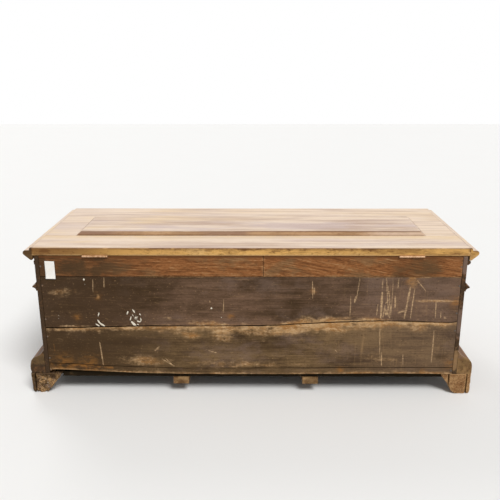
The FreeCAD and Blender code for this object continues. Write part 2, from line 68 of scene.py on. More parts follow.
def measure(name, description, default):
    return bpy.props.FloatProperty(name=name, description=description, default=default, min=0.0, precision=4,
                                   subtype="DISTANCE", unit="LENGTH")


def shade(name, description, default):
    return bpy.props.FloatVectorProperty(name=name, description=description, default=default, size=3,
                                         min=0.0, max=1.0, subtype="COLOR")


def amount(name, description, default):
    return bpy.props.FloatProperty(name=name, description=description, default=default, min=0.0)


def angle(name, description, degrees):
    return bpy.props.FloatProperty(name=name, description=description, default=math.radians(degrees),
                                   subtype="ANGLE")


def triple(name, description, default, subtype, unit="NONE"):
    return bpy.props.FloatVectorProperty(name=name, description=description, default=default, size=3,
                                         subtype=subtype, unit=unit)


class ChestSizes(bpy.types.PropertyGroup):
    """How far the wood has worn, and the few sizes that the frame doesn't give."""

    arris: measure("Arris", "Rounding of a worn board's edges", 0.0025)
    lid_arris: measure("Lid arris", "Rounding of the lid's edges", 0.0045)
    crack_arris: measure("Crack arris", "Rounding of the lower back board along the joint", 0.0040)
    seam_arris: measure("Seam arris", "Rounding of the back boards along their other edges", 0.0013)
    machined: measure("Sharp edge", "Rounding of the edges that have hardly worn", 0.0009)
    plane_marks: measure("Plane marks", "Depth of the waves that a hand plane left", 0.0006)
    hollows: measure("Hollows", "Depth of worn hollows in the back boards", 0.0016)
    erosion: measure("Erosion", "Depth of the decay in the rear feet", 0.014)
    chip: measure("Chip", "Depth of the chips at the rear ends of the mouldings", 0.006)
    foot_split: measure("Foot split", "Gap between a rear foot's end bracket and its block", 0.0025)
    fine_pitch: measure("Fine pitch", "Spacing of points on the marked back boards", 0.0018)
    pitch: measure("Pitch", "Spacing of points on the other boards", 0.009)
    broken: measure("Broken end", "Length broken off the small moulding at its right rear end", 0.060)
    tag_width: measure("Tag width", "Width of the paper tag", 0.032)
    tag_height: measure("Tag height", "Height of the paper tag", 0.061)
    tag_from_end: measure("Tag from end", "Middle of the tag from the end of the case", 0.0505)
    tag_down: measure("Tag down", "Middle of the tag below the top of the case", 0.048)
    panel_joint: measure("Panel joint", "Joint of the lid's panel from the back of the lid", 0.258)


class ChestColours(bpy.types.PropertyGroup):
    """Colours of the finishes."""

    walnut_dark: shade("Walnut, dark", "Dark grain of the case", (0.060, 0.026, 0.010))
    walnut: shade("Walnut", "The case's own colour", (0.190, 0.086, 0.032))
    walnut_warm: shade("Walnut, warm", "Panels and drawer fronts", (0.230, 0.098, 0.034))
    walnut_pale: shade("Walnut, pale", "Pale grain and rubbed edges of the case", (0.380, 0.210, 0.092))
    # Faded lid: its pale colour holds a painted sheen as well as real fading
    faded_and_sheen: shade("Faded lid", "Top of the lid", (0.800, 0.640, 0.495))
    faded_dark: shade("Faded lid, dark", "Dark streaks on top of the lid", (0.430, 0.285, 0.215))
    golden: shade("Golden edge", "Back edge of the lid", (0.660, 0.372, 0.112))
    golden_pale: shade("Golden edge, pale", "Rubbed arris of the lid", (0.640, 0.400, 0.180))
    golden_dark: shade("Golden edge, dark", "Specks and stains on the lid's edges", (0.150, 0.064, 0.018))
    faded_amber: shade("Faded lid, amber", "Old varnish left on top of the lid", (0.760, 0.560, 0.330))
    faded_violet: shade("Faded lid, violet", "Greyed streaks on top of the lid", (0.560, 0.440, 0.410))
    golden_light: shade("Golden edge, light", "Bright patches of the lid's back edge", (0.760, 0.480, 0.190))
    # Lid bevel colours: browner than the top, with dirt and painted shade
    bevel: shade("Lid bevel", "Rear bevel of the lid's panel", (0.450, 0.262, 0.128))
    bevel_pale: shade("Lid bevel, pale", "That bevel where it has bleached", (0.620, 0.450, 0.330))
    bevel_dark: shade("Lid bevel, dark", "That bevel where it is stained", (0.210, 0.110, 0.070))
    rail: shade("Top rail", "Rail along the top of the back", (0.270, 0.105, 0.034))
    rail_dark: shade("Top rail, dark", "Dark grain of that rail", (0.115, 0.042, 0.013))
    back: shade("Back, upper", "Face of the upper back board", (0.160, 0.092, 0.056))
    back_olive: shade("Back, lower", "Face of the lower back board and the strip", (0.180, 0.110, 0.050))
    back_dust: shade("Back, dust", "Dust in the back's grain", (0.185, 0.120, 0.088))
    back_dark: shade("Back, dark", "Darkest stain on the back", (0.045, 0.024, 0.010))
    back_worn: shade("Back, worn", "Bare wood on the back", (0.440, 0.262, 0.118))
    scratch: shade("Scratch", "Fresh scratches on the back", (0.560, 0.370, 0.200))
    chalk: shade("White paint", "Old splashes of white paint", (0.740, 0.670, 0.540))
    rust: shade("Rust", "Rust and orange stains on the back", (0.290, 0.122, 0.026))
    end_grain: shade("End grain", "Dusty cut ends at the back of the case", (0.290, 0.185, 0.070))
    softwood: shade("Softwood", "Inside and underside", (0.420, 0.255, 0.115))
    softwood_dark: shade("Softwood, dark", "Grain and dirt of the softwood", (0.190, 0.098, 0.040))
    iron: shade("Iron", "Nails, pins and screws", (0.105, 0.085, 0.070))
    hinge: shade("Hinge", "Rubbed face of the hinges", (0.600, 0.370, 0.215))
    paper: shade("Paper", "The tag", (0.830, 0.810, 0.770))
    # Soot: painted shade with dirt, nearly black on the bottom boards under the chest
    soot_and_shade: shade("Soot", "Dirt under the chest", (0.016, 0.010, 0.004))
    floor: shade("Floor", "The floor under the chest", (0.850, 0.845, 0.830))
    floor_dark: shade("Floor, dark", "Faint clouds in the floor", (0.700, 0.690, 0.670))


class ChestStage(bpy.types.PropertyGroup):
    """Camera and light."""

    eye: triple("Eye", "Where the camera stands", (-0.017, 2.281, 1.131), "XYZ", "LENGTH")
    turn: angle("Turn", "Camera's turn from facing the back squarely", -0.52)
    dip: angle("Dip", "Camera's angle below the horizon", 16.98)
    roll: angle("Roll", "Camera's roll", -0.08)
    lens: amount("Lens", "Focal length in millimetres", 45.53)
    sky: amount("Sky", "Strength of the light from all round", 0.38)
    lamp: amount("Lamp", "Strength of the soft lamp behind", 2.4)
    softness: angle("Softness", "How wide the lamps look from the chest", 24)
    lamp_from: triple("Lamp from", "Direction in which the lamp lies", (-0.45, 0.75, 1.15), "DIRECTION")
    fill: amount("Fill", "Strength of the soft lamp in front", 0.5)
    fill_from: triple("Fill from", "Direction in which the fill lies", (0.5, -0.9, 0.8), "DIRECTION")


# Shapes

# Rounding of the ends of the lid's pieces and the mouldings, and of the back's
CRISP_END = 0.0006
SAWN_END = 0.0008
# The rounding at which an edge counts as a full arris, and the angle from which one stays sharp
ARRIS = 0.003
SHARP = math.radians(50)
# The most of a side that a rounded corner takes
CORNER_SHARE = 0.45
# The last stretch of a moulding, in which it is chipped
CHIPPED_RUN = 0.040
# How close the points of a solid are that become one
WELD = 0.00002


def noise(points, size, seed):
    """Smooth noise from -1 to 1: hashed numbers on a lattice with cells of the given size, eased between its
    corners."""
    scaled = np.asarray(points) / np.asarray(size)
    cell = np.floor(scaled).astype(np.int64)
    part = scaled - cell
    part = part * part * (3 - 2 * part)
    total = np.zeros(scaled.shape[:-1])
    for corner in itertools.product((0, 1), repeat=3):
        at = cell + corner
        mixed = at[..., X] * 73856093 ^ at[..., Y] * 19349663 ^ at[..., Z] * 83492791 ^ (seed + 1) * 40503
        mixed = ((mixed ^ (mixed >> 13)) * 1274126177) & 0xFFFFFFFF
        value = ((mixed ^ (mixed >> 16)) & 0xFFFF) / 32767.5 - 1
        total += value * np.prod(np.where(corner, part, 1 - part), axis=-1)
    return total


def rough(points, size, seed):
    """Noise with two finer layers, each half as strong and half as large as the one before."""
    size = np.asarray(size)
    return sum(noise(points, size / 2**k, seed + 17 * k) / 2**k for k in range(3)) / 1.75


def turning(loop):
    """Twice the area inside a closed outline, below zero if it runs clockwise."""
    following = np.roll(loop, -1, 0)
    return np.sum(loop[:, 0] * following[:, 1] - following[:, 0] * loop[:, 1])


def eased(corners, radius, pitch):
    """A closed outline through straight sides. Each corner is a parabola that leaves both of its sides at
    the same distance, and each side is divided into steps of about one pitch, or its own pitch if a list
    is given. The outline comes out anticlockwise."""
    corners = np.asarray(corners, float)
    count = len(corners)
    if turning(corners) < 0:
        corners = corners[::-1]
    radii = np.broadcast_to(radius, count)
    pitches = np.broadcast_to(pitch, count)
    before = corners - np.roll(corners, 1, 0)
    after = np.roll(corners, -1, 0) - corners
    reach = CORNER_SHARE * np.minimum(np.linalg.norm(before, axis=1), np.linalg.norm(after, axis=1))
    cut = np.minimum(radii, reach)[:, None]
    arc_in = corners - cut * before / np.linalg.norm(before, axis=1)[:, None]
    arc_out = corners + cut * after / np.linalg.norm(after, axis=1)[:, None]
    step = np.linspace(0, 1, 5)[:, None]
    pieces = []
    for k in range(count):
        pieces.append((1 - step)**2 * arc_in[k] + 2 * step * (1 - step) * corners[k] + step**2 * arc_out[k])
        start, end = arc_out[k], arc_in[(k + 1) % count]
        parts = max(1, round(np.linalg.norm(end - start) / pitches[k]))
        inner = np.linspace(0, 1, parts + 1)[1:-1, None]
        pieces.append(start + inner * (end - start))
    return np.concatenate(pieces)


def outward(loop):
    """Unit normals of closed outlines, across the line between each point's two neighbours."""
    along = np.roll(loop, -1, -2) - np.roll(loop, 1, -2)
    normal = np.stack([along[..., 1], -along[..., 0]], -1)
    return normal / np.maximum(np.linalg.norm(normal, axis=-1, keepdims=True), 1e-9)


def carry(loops, stations, axis, ease=0.002, rings=4, centre=None):
    """A closed outline, or one outline for each station, carried along an axis. At both ends it draws in by
    a quarter circle of radius ease, and then shrinks in rings towards its middle, or towards the centre
    that is given. Gives points and faces."""
    stations = np.asarray(stations, float)
    loops = np.broadcast_to(loops, (len(stations),) + np.shape(loops)[-2:])
    bow = np.radians([80.0, 55.0, 28.0])
    shrink = np.linspace(1, 0, rings + 1)[1:-1]

    def end(loop, at, way):
        drawn = loop - outward(loop) * (ease * (1 - np.cos(bow)))[:, None, None]
        middle = drawn[0].mean(0) if centre is None else np.asarray(centre)
        inner = middle + (drawn[0] - middle) * shrink[::-1, None, None]
        places = at + way * ease * np.sin(bow)
        return np.concatenate([inner, drawn]), np.concatenate([np.full(len(inner), places[0]), places])

    first, first_at = end(loops[0], stations[0] + ease, -1)
    last, last_at = end(loops[-1], stations[-1] - ease, 1)
    inside = stations.copy()
    inside[0] += ease
    inside[-1] -= ease
    section = np.concatenate([first, loops, last[::-1]])
    place = np.concatenate([first_at, inside, last_at[::-1]])
    rows, count = section.shape[:2]
    points = np.empty((rows, count, 3))
    a, b, c = AXES[axis]
    points[..., a] = place[:, None]
    points[..., b] = section[..., 0]
    points[..., c] = section[..., 1]
    number = np.arange(rows * count).reshape(rows, count)
    following = np.roll(number, -1, 1)
    quads = np.stack([number[:-1], following[:-1], following[1:], number[1:]], -1).reshape(-1, 4)
    return points.reshape(-1, 3), quads.tolist() + [number[0, ::-1].tolist(), number[-1].tolist()]


def grid(shape):
    """Numbers of the points of a grid, row by row, and its faces, which face up if rows go along X."""
    number = np.arange(np.prod(shape)).reshape(shape)
    quads = np.stack([number[:-1, :-1], number[1:, :-1], number[1:, 1:], number[:-1, 1:]], -1)
    return number, quads.reshape(-1, 4)


def together(*solids):
    """Several closed surfaces as one set of points and faces."""
    points = np.concatenate([solid[0] for solid in solids])
    starts = np.cumsum([0] + [len(solid[0]) for solid in solids])
    faces = [[n + start for n in face] for start, solid in zip(starts, solids) for face in solid[1]]
    return points, faces


def steps(low, high, pitch):
    return np.linspace(low, high, max(2, round((high - low) / pitch) + 1))


def rectangle(b, c):
    return [(b[0], c[0]), (b[1], c[0]), (b[1], c[1]), (b[0], c[1])]


def sharpness(mesh, points, normals):
    """How much the surface bends outwards at each point: the mean, over its edges, of the change of normal
    along the edge over the edge's length, as a share of half the bend of a full arris."""
    ends = np.empty(len(mesh.edges) * 2, np.int32)
    mesh.edges.foreach_get("vertices", ends)
    one, other = ends.reshape(-1, 2).T
    run = points[other] - points[one]
    bend = np.sum((normals[other] - normals[one]) * run, 1) / np.maximum(np.sum(run * run, 1), 1e-12)
    total = np.bincount(one, bend, len(points)) + np.bincount(other, bend, len(points))
    count = np.bincount(one, minlength=len(points)) + np.bincount(other, minlength=len(points))
    return np.clip(2 * ARRIS * total / np.maximum(count, 1), 0, 1)


def piece(name, solid, material, body, relief=None, marks=None, replaces=True):
    """Makes a piece from points and faces. relief(points) is how far each point goes inwards along its
    normal, and marks(points) gives named values for the material to read. A piece that replaces the solid
    of its name is called its surface."""
    points, faces = solid
    label = f"{name}_surface" if replaces else name
    mesh = bpy.data.meshes.new(label)
    mesh.from_pydata(points.tolist(), [], faces)
    normals = np.empty(len(points) * 3, np.float32)
    mesh.vertex_normals.foreach_get("vector", normals)
    normals = normals.reshape(-1, 3).astype(float)
    values = {"arris": sharpness(mesh, points, normals), "up": np.clip(normals[:, Z], 0, 1)}
    if marks:
        values |= marks(points)
    if relief:
        points = points - normals * relief(points)[:, None]
        mesh.vertices.foreach_set("co", points.astype(np.float32).ravel())
    for key, value in values.items():
        mesh.attributes.new(key, "FLOAT", "POINT").data.foreach_set("value", value.astype(np.float32))
    mesh.shade_smooth()
    mesh.set_sharp_from_angle(angle=SHARP)
    mesh.update()
    made = bpy.data.objects.new(label, mesh)
    bpy.context.scene.collection.objects.link(made)
    made.data.materials.append(material)
    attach(made, body)
    if replaces:
        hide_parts(name)
    return made


def planed(size, seed):
    """Relief of a hand-planed face: shallow waves of a size, everywhere inwards."""
    depth = bpy.context.scene.chest_sizes.plane_marks
    return lambda points: depth * (0.5 + 0.5 * rough(points, size, seed))


def chipped(depth, back, seed):
    """Relief of a moulding, rubbed all along and chipped up to a depth in its last run at the back."""
    rubbed = planed((0.03, 0.03, 0.015), seed)

    def relief(points):
        near_back = np.clip(1 - (back - points[:, Y]) / CHIPPED_RUN, 0, 1)
        return rubbed(points) + depth * near_back * np.clip(1.6 * rough(points, 0.016, seed + 1), 0, 1)

    return relief


def dress(material, width, *nodes):
    """Gives solids of the frame their finish, and rounds their edges by a small width."""
    for node in nodes:
        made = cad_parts[node]
        for holder in made.material_slots:
            holder.material = material
        weld = made.modifiers.new("Weld", "WELD")
        weld.merge_threshold = WELD
        if width:
            bevel = made.modifiers.new("Edges", "BEVEL")
            bevel.width = width
            bevel.segments = 2
            bevel.limit_method = "ANGLE"
            bevel.angle_limit = math.radians(40)
            bevel.harden_normals = True


# Finishes

class Socket:
    """An output of a material's node. Python's operators on it add Math nodes."""

    def __init__(self, tree, output):
        self.tree = tree
        self.output = output

    def math(self, operation, *values, clamp=False):
        return self.tree.node("ShaderNodeMath", {"operation": operation, "use_clamp": clamp},
                              dict(enumerate(values)))

    def __add__(self, other):
        return self.math("ADD", self, other)

    def __sub__(self, other):
        return self.math("SUBTRACT", self, other)

    def __rsub__(self, other):
        return self.math("SUBTRACT", other, self)

    def __mul__(self, other):
        return self.math("MULTIPLY", self, other)

    __radd__ = __add__
    __rmul__ = __mul__

    def clamped(self):
        return self.math("ADD", self, 0.0, clamp=True)

    def most(self, other):
        return self.math("MAXIMUM", self, other)

    def sine(self):
        return self.math("SINE", self)

    def size(self):
        return self.math("ABSOLUTE", self)


class Tree:
    """The nodes of one material or world."""

    def __init__(self, tree):
        self.tree = tree
        self.tree.nodes.clear()

    def node(self, kind, settings=None, inputs=None, output=0):
        """Adds a node, sets its settings, then its sockets' values or links. Gives one of its outputs, or
        none."""
        made = self.tree.nodes.new(kind)
        for key, value in (settings or {}).items():
            setattr(made, key, value)
        for key, value in (inputs or {}).items():
            if isinstance(value, Socket):
                self.tree.links.new(value.output, made.inputs[key])
            else:
                made.inputs[key].default_value = value
        return None if output is None else Socket(self, made.outputs[output])


class Finish(Tree):
    """A material under way."""

    def __init__(self, name):
        self.material = bpy.data.materials.new(name)
        self.material.use_nodes = True
        super().__init__(self.material.node_tree)
        self.place = self.node("ShaderNodeTexCoord", output="Object")

    def stretched(self, vector, scale=(1.0, 1.0, 1.0), shift=(0.0, 0.0, 0.0), turn=(0.0, 0.0, 0.0)):
        return self.node("ShaderNodeMapping", inputs={
            "Vector": vector, "Scale": scale, "Location": shift, "Rotation": turn})

    def axis(self, axis):
        return self.node("ShaderNodeSeparateXYZ", inputs={0: self.place}, output=axis)

    def mottle(self, vector, scale, detail=3.0, roughness=0.55, distortion=0.0):
        return self.node("ShaderNodeTexNoise", inputs={
            "Vector": vector, "Scale": scale, "Detail": detail, "Roughness": roughness,
            "Distortion": distortion}, output="Fac")

    def drawn(self, along, scale, detail, roughness, shift=(0.0, 0.0, 0.0)):
        """Noise that is drawn out along X, where its scale is only a share of what it is across."""
        return self.mottle(self.stretched(self.place, (along, 1.0, 1.0), shift), scale, detail, roughness)

    def between(self, value, low, high):
        """0 below low and 1 above high, or the other way round if low is the greater."""
        return self.node("ShaderNodeMapRange", {"interpolation_type": "SMOOTHSTEP"}, {
            "Value": value, "From Min": low, "From Max": high})

    def within(self, value, start, full, waning, gone):
        """0 up to start, 1 from full to waning, and 0 again from gone on."""
        return self.between(value, start, full) * self.between(value, gone, waning)

    def mix(self, part, first, second):
        inputs = {0: part}
        for key, value in ((6, first), (7, second)):
            inputs[key] = value if isinstance(value, Socket) else (*value, 1.0)
        return self.node("ShaderNodeMix", {"data_type": "RGBA"}, inputs, output=2)

    def tinted(self, colour, tint, value, low, high, share=1.0):
        """A colour that takes up to a share of a tint as a value goes from low to high."""
        return self.mix(self.between(value, low, high) * share, colour, tint)

    def mark(self, name):
        return self.node("ShaderNodeAttribute", {"attribute_name": name}, output="Fac")

    def surface(self, colour, roughness, height, depth, shine=0.5, metallic=0.0):
        """Ends the material: a shader with colour and roughness, and height over depth metres as bump."""
        normal = self.node("ShaderNodeBump", inputs={"Height": height, "Distance": depth, "Strength": 1.0})
        shader = self.node("ShaderNodeBsdfPrincipled", inputs={
            "Base Color": colour, "Roughness": roughness, "Normal": normal, "Specular IOR Level": shine,
            "Metallic": metallic})
        self.node("ShaderNodeOutputMaterial", inputs={"Surface": shader}, output=None)
        return self.material


def grain(finish, axis, seed, rings=38.0, streaks=24.0, turn=0.0, pith=None):
    """Wood grain as values from 0 to 1: growth rings, streaks, fibres, pores, dark lines and blotches. Rings
    are a sine of the distance from a pith line, which lies outside the board unless it is given. The rest
    is noise stretched along the grain, and noise bends most of it a little."""
    draw = np.random.default_rng(seed)
    shift = draw.uniform(-3, 3, 3)
    beside = draw.uniform(0.10, 0.26, 3) * draw.choice([-1, 1], 3)
    beside[axis] = draw.uniform(-0.05, 0.05)

    def along(share):
        return np.where(np.arange(3) == axis, share, 1.0)

    def fibres(start, share, shift, scale, detail, roughness=0.55):
        return finish.mottle(finish.stretched(start, along(share), shift), scale, detail, roughness)

    straight = finish.stretched(finish.place, turn=(0.0, turn, 0.0)) if turn else finish.place
    bend = finish.node("ShaderNodeTexNoise", inputs={
        "Vector": finish.stretched(straight, along(0.3), shift), "Scale": 3.0, "Detail": 2.0},
        output="Color")
    wavy = finish.node("ShaderNodeVectorMath", {"operation": "MULTIPLY_ADD"}, {
        0: bend, 1: (0.04, 0.04, 0.04), 2: straight})
    if pith is None:
        centred = finish.stretched(wavy, along(0.24), beside)
    else:
        centred = finish.stretched(straight, along(0.0), -np.asarray(pith))
    distance = finish.node("ShaderNodeVectorMath", {"operation": "LENGTH"}, {0: centred}, output="Value")
    patches = finish.between(fibres(straight, 0.4, shift, 4.0, 2.0), 0.30, 0.62)
    return {
        "rings": (distance * (rings * math.tau)).sine() * patches * 0.5 + 0.5,
        "streak": fibres(wavy, 0.035, shift, streaks, 6.0, 0.64),
        "fibre": fibres(wavy, 0.02, shift, 260.0, 3.0, 0.6),
        "pores": finish.between(fibres(straight, 0.035, shift, 800.0, 1.0), 0.60, 0.72),
        "lines": finish.between(fibres(wavy, 0.03, shift[::-1], 190.0, 3.0, 0.65), 0.54, 0.70),
        "blotch": fibres(straight, 0.5, shift[::-1], 4.5, 4.0, 0.6),
    }


def walnut(name, axis, seed, dark, middle, pale, gloss=0.38, soot_and_shade=None, edges=(), dusty=()):
    """Old polished walnut: dark streaks, rings and fine lines, paler rubbed arrises, dust in the pores. The
    soot given is an axis, two places along it, a share and a colour: from the first place to the second the
    wood takes that colour. dusty are heights within the soot, each with a reach, a share and a colour of its
    own.
    edges are axes, each with a low and a high place, near which dark wax has gathered and shade is painted
    along the joints, darkest at the very edge."""
    finish = Finish(name)
    wood = grain(finish, axis, seed, streaks=110.0)
    tone = wood["streak"] * 0.7 + wood["blotch"] * 0.3
    tone = tone + (wood["rings"] - 0.5) * 0.12 + (wood["fibre"] - 0.5) * 0.5
    colour = finish.tinted(dark, middle, tone, 0.32, 0.58)
    colour = finish.tinted(colour, pale, tone, 0.52, 0.76, 0.55)
    colour = finish.tinted(colour, dark, wood["blotch"], 0.48, 0.74, 0.35)
    colour = finish.mix(wood["lines"] * 0.40, colour, dark)
    colour = finish.mix(wood["pores"] * 0.35, colour, dark)
    scuff = finish.mottle(finish.place, 60.0, 5.0, 0.65)
    rubbed = (finish.mark("arris") * finish.between(scuff, 0.32, 0.60) * 0.6).clamped()
    colour = finish.mix(rubbed, colour, pale)
    # Dark wax and painted shade along the joints, darkest at the very edge
    for across, low, high in edges:
        inwards = 0.5 * (high - low) - (finish.axis(across) - 0.5 * (low + high)).size()
        colour = finish.tinted(colour, dark, inwards + (scuff - 0.5) * 0.008, 0.006, 0.001, 0.75)
    dust = finish.between(scuff, 0.56, 0.74)
    colour = finish.mix(dust * 0.2, colour, pale)
    if soot_and_shade:
        where, first, last, most, tint = soot_and_shade
        patchy = 0.45 + finish.between(scuff * 0.45 + wood["streak"] * 0.55, 0.40, 0.58) * 0.8
        reached = finish.between(finish.axis(where), first, last)
        colour = finish.mix((reached * patchy * most).clamped(), colour, tint)
        for height, reach, share, dust_tint in dusty:
            away = (finish.axis(Z) - height).size() + (scuff - 0.5) * (1.5 * reach)
            colour = finish.tinted(colour, dust_tint, away, reach, 0.5 * reach, reached * share)
    roughness = gloss + wood["fibre"] * 0.12 + wood["blotch"] * 0.14 + wood["pores"] * 0.15 + dust * 0.15
    height = wood["fibre"] * 0.35 + wood["rings"] * 0.1 - wood["pores"] * 0.6 + scuff * 0.25
    return finish.surface(colour, roughness, height, depth=0.0004, shine=0.16)


def case_walnut(name, axis, seed, soot_and_shade=None, edges=(), warm=False, dusty=()):
    tints = bpy.context.scene.chest_colours
    middle = tints.walnut_warm if warm else tints.walnut
    return walnut(name, axis, seed, tints.walnut_dark, middle, tints.walnut_pale, soot_and_shade=soot_and_shade, edges=edges,
                  dusty=dusty)


def waxed_and_shaded(node, *axes):
    """The places, along the axes given, between which a node lies, for the wax and the painted shade along
    its edges.
    """
    low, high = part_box(node)
    return [(axis, low[axis], high[axis]) for axis in axes]


def softwood(name, axis, seed, dirt=0.5, dirt_and_shade_tint=None):
    """Plain unfinished softwood, darkened by age, with dust and stains. The tint given for its darkening can
    also paint shade, as it does on the bottom boards under the chest.
    """
    tints = bpy.context.scene.chest_colours
    finish = Finish(name)
    wood = grain(finish, axis, seed, rings=22.0, streaks=60.0)
    tone = wood["streak"] + (wood["rings"] - 0.5) * 0.16 + (wood["fibre"] - 0.5) * 0.4
    colour = finish.tinted(tints.softwood, tints.softwood_dark, tone, 0.36, 0.68)
    grime = finish.mottle(finish.place, 14.0, 5.0, 0.65)
    clean = 0.60 - 0.5 * dirt
    colour = finish.tinted(colour, dirt_and_shade_tint or tints.back_dark, grime, clean, clean + 0.35, dirt)
    height = wood["fibre"] * 0.6 + wood["rings"] * 0.3
    return finish.surface(colour, 0.70 + wood["fibre"] * 0.2, height, depth=0.0005, shine=0.08)


def metal(name, tint, rusty, metallic):
    """Old iron: rubbed on the open faces, with rust in blotches and a fine hammered bump."""
    finish = Finish(name)
    broad = finish.mottle(finish.place, 60.0, 5.0, 0.65)
    fine = finish.mottle(finish.place, 420.0, 3.0, 0.6)
    colour = finish.tinted(tint, rusty, broad + fine * 0.3, 0.60, 0.82, 0.8)
    colour = finish.tinted(colour, rusty, fine, 0.55, 0.75, 0.4)
    height = broad * 0.5 + fine * 0.5
    return finish.surface(colour, 0.42 + broad * 0.35, height, depth=0.0004, metallic=metallic)


def faded_and_sheen_top(finish, wood, dull, scuff, seed, streaky):
    """Colour of the lid's top: bleached, and paler still by a painted sheen, with dark and greyed streaks,
    and old varnish in patches and along the field of the panel."""
    tints = bpy.context.scene.chest_colours
    dark = tints.faded_dark
    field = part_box("lid_rail_back")[0].y
    along_x = finish.axis(X)
    broad = finish.drawn(0.16, 13.0, 4.0, 0.6, (2.0, seed, 0.0))
    smoky = finish.between(broad, 0.46, 0.66) * finish.between(along_x, 0.62, 0.15)
    faded_and_sheen = finish.mix(dull * streaky, tints.faded_and_sheen, dark)
    faded_and_sheen = finish.mix(smoky * (streaky * 0.8), faded_and_sheen, dark)
    faded_and_sheen = finish.mix(wood["lines"] * (streaky * 0.35), faded_and_sheen, dark)
    faded_and_sheen = finish.mix(wood["pores"] * 0.18, faded_and_sheen, dark)
    faded_and_sheen = finish.tinted(faded_and_sheen, dark, wood["blotch"], 0.52, 0.76, 0.3)
    faded_and_sheen = finish.tinted(faded_and_sheen, dark, along_x, 0.48, 0.70, 0.16)
    varnish = finish.drawn(0.22, 9.0, 4.0, 0.62, (seed, 4.0, 0.0))
    left = 0.35 + finish.between(along_x, 0.10, 0.55) * 0.35
    faded_and_sheen = finish.tinted(faded_and_sheen, tints.faded_amber, varnish, 0.50, 0.66, left)
    faded_and_sheen = finish.tinted(faded_and_sheen, tints.faded_violet, varnish, 0.48, 0.36, streaky * 0.7)
    by_field = finish.within(finish.axis(Y), field + 0.055, field + 0.010, field, field - 0.001)
    by_field = by_field * (0.35 + finish.between(scuff, 0.40, 0.60) * 0.45)
    return finish.mix(by_field, faded_and_sheen, tints.faded_amber)


def lid_edge(finish, wood, tone, specks, clouds, rear, seed):
    """Colour of the lid's edges: brown, and golden on the rear one, which is spoilt by lines, specks, dabs
    and clouds, darker along its top and at one end, and rubbed pale along its bottom."""
    tints = bpy.context.scene.chest_colours
    low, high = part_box("lid_rail_back")
    along_x, up = finish.axis(X), finish.axis(Z)
    lines = finish.drawn(0.05, 170.0, 4.0, 0.7)
    dabs = finish.drawn(0.5, 75.0, 4.0, 0.6, (seed, 0.0, 1.0))
    mid = finish.between(along_x.size(), 0.48, 0.28)
    from_top = high.z - up + (specks - 0.5) * 0.020
    spoilt = finish.between(lines, 0.54, 0.66) * (0.30 + mid * 0.20)
    spoilt = spoilt + finish.between(specks, 0.55, 0.64) * (0.35 + mid * 0.30)
    spoilt = spoilt + finish.between(clouds, 0.47, 0.62) * 0.75
    spoilt = spoilt + finish.between(dabs, 0.48, 0.60) * mid * 0.40
    spoilt = spoilt + finish.between(from_top, 0.012, 0.005) * (0.15 + mid * 0.25)
    spoilt = spoilt * (1 - finish.between(along_x, 0.30, 0.55) * 0.4)
    spoilt = spoilt + finish.between(along_x, 0.36, 0.62) * 0.80 + finish.between(along_x, 0.00, 0.30) * 0.20
    spoilt = spoilt + finish.within(along_x, -0.12, -0.30, -0.42, -0.55) * 0.25
    light = finish.between(clouds * 0.7 + specks * 0.3, 0.47, 0.36) * finish.between(along_x, 0.40, 0.10)
    edge = finish.tinted(tints.walnut, tints.walnut_pale, tone, 0.36, 0.62)
    edge = finish.mix(wood["lines"] * 0.4, edge, tints.walnut_dark)
    edge = finish.mix(rear, edge, tints.golden)
    edge = finish.mix(light * rear * 0.8, edge, tints.golden_light)
    edge = finish.mix((spoilt * (rear * 0.65 + 0.15)).clamped(), edge, tints.golden_dark)
    lowest = finish.between(up + (specks - 0.5) * 0.006, low.z + 0.0065, low.z + 0.0030)
    return finish.mix(lowest * rear * (0.25 + mid * 0.35), edge, tints.golden_pale)


def panel_bevel(finish, specks, clouds):
    """Colour of the rear bevel of the lid's panel, browner than the top with dirt and painted shade:
    darkened by specks and clouds, stained in two places and bleached at its left end."""
    tints = bpy.context.scene.chest_colours
    along_x = finish.axis(X)
    shaded = finish.between(clouds, 0.42, 0.60) * 0.40 + finish.between(specks, 0.50, 0.64) * 0.25
    stained = finish.between(along_x, 0.42, 0.54) * 0.85
    stained = stained + finish.within(along_x, -0.02, 0.04, 0.12, 0.20) * 0.75
    bleached = finish.between(along_x, -0.36, -0.48)
    bevel = finish.mix(bleached * 0.85, tints.bevel, tints.bevel_pale)
    bevel = finish.mix((shaded * (1 - bleached * 0.4)).clamped(), bevel, tints.golden_dark)
    return finish.mix(stained.clamped(), bevel, tints.bevel_dark)


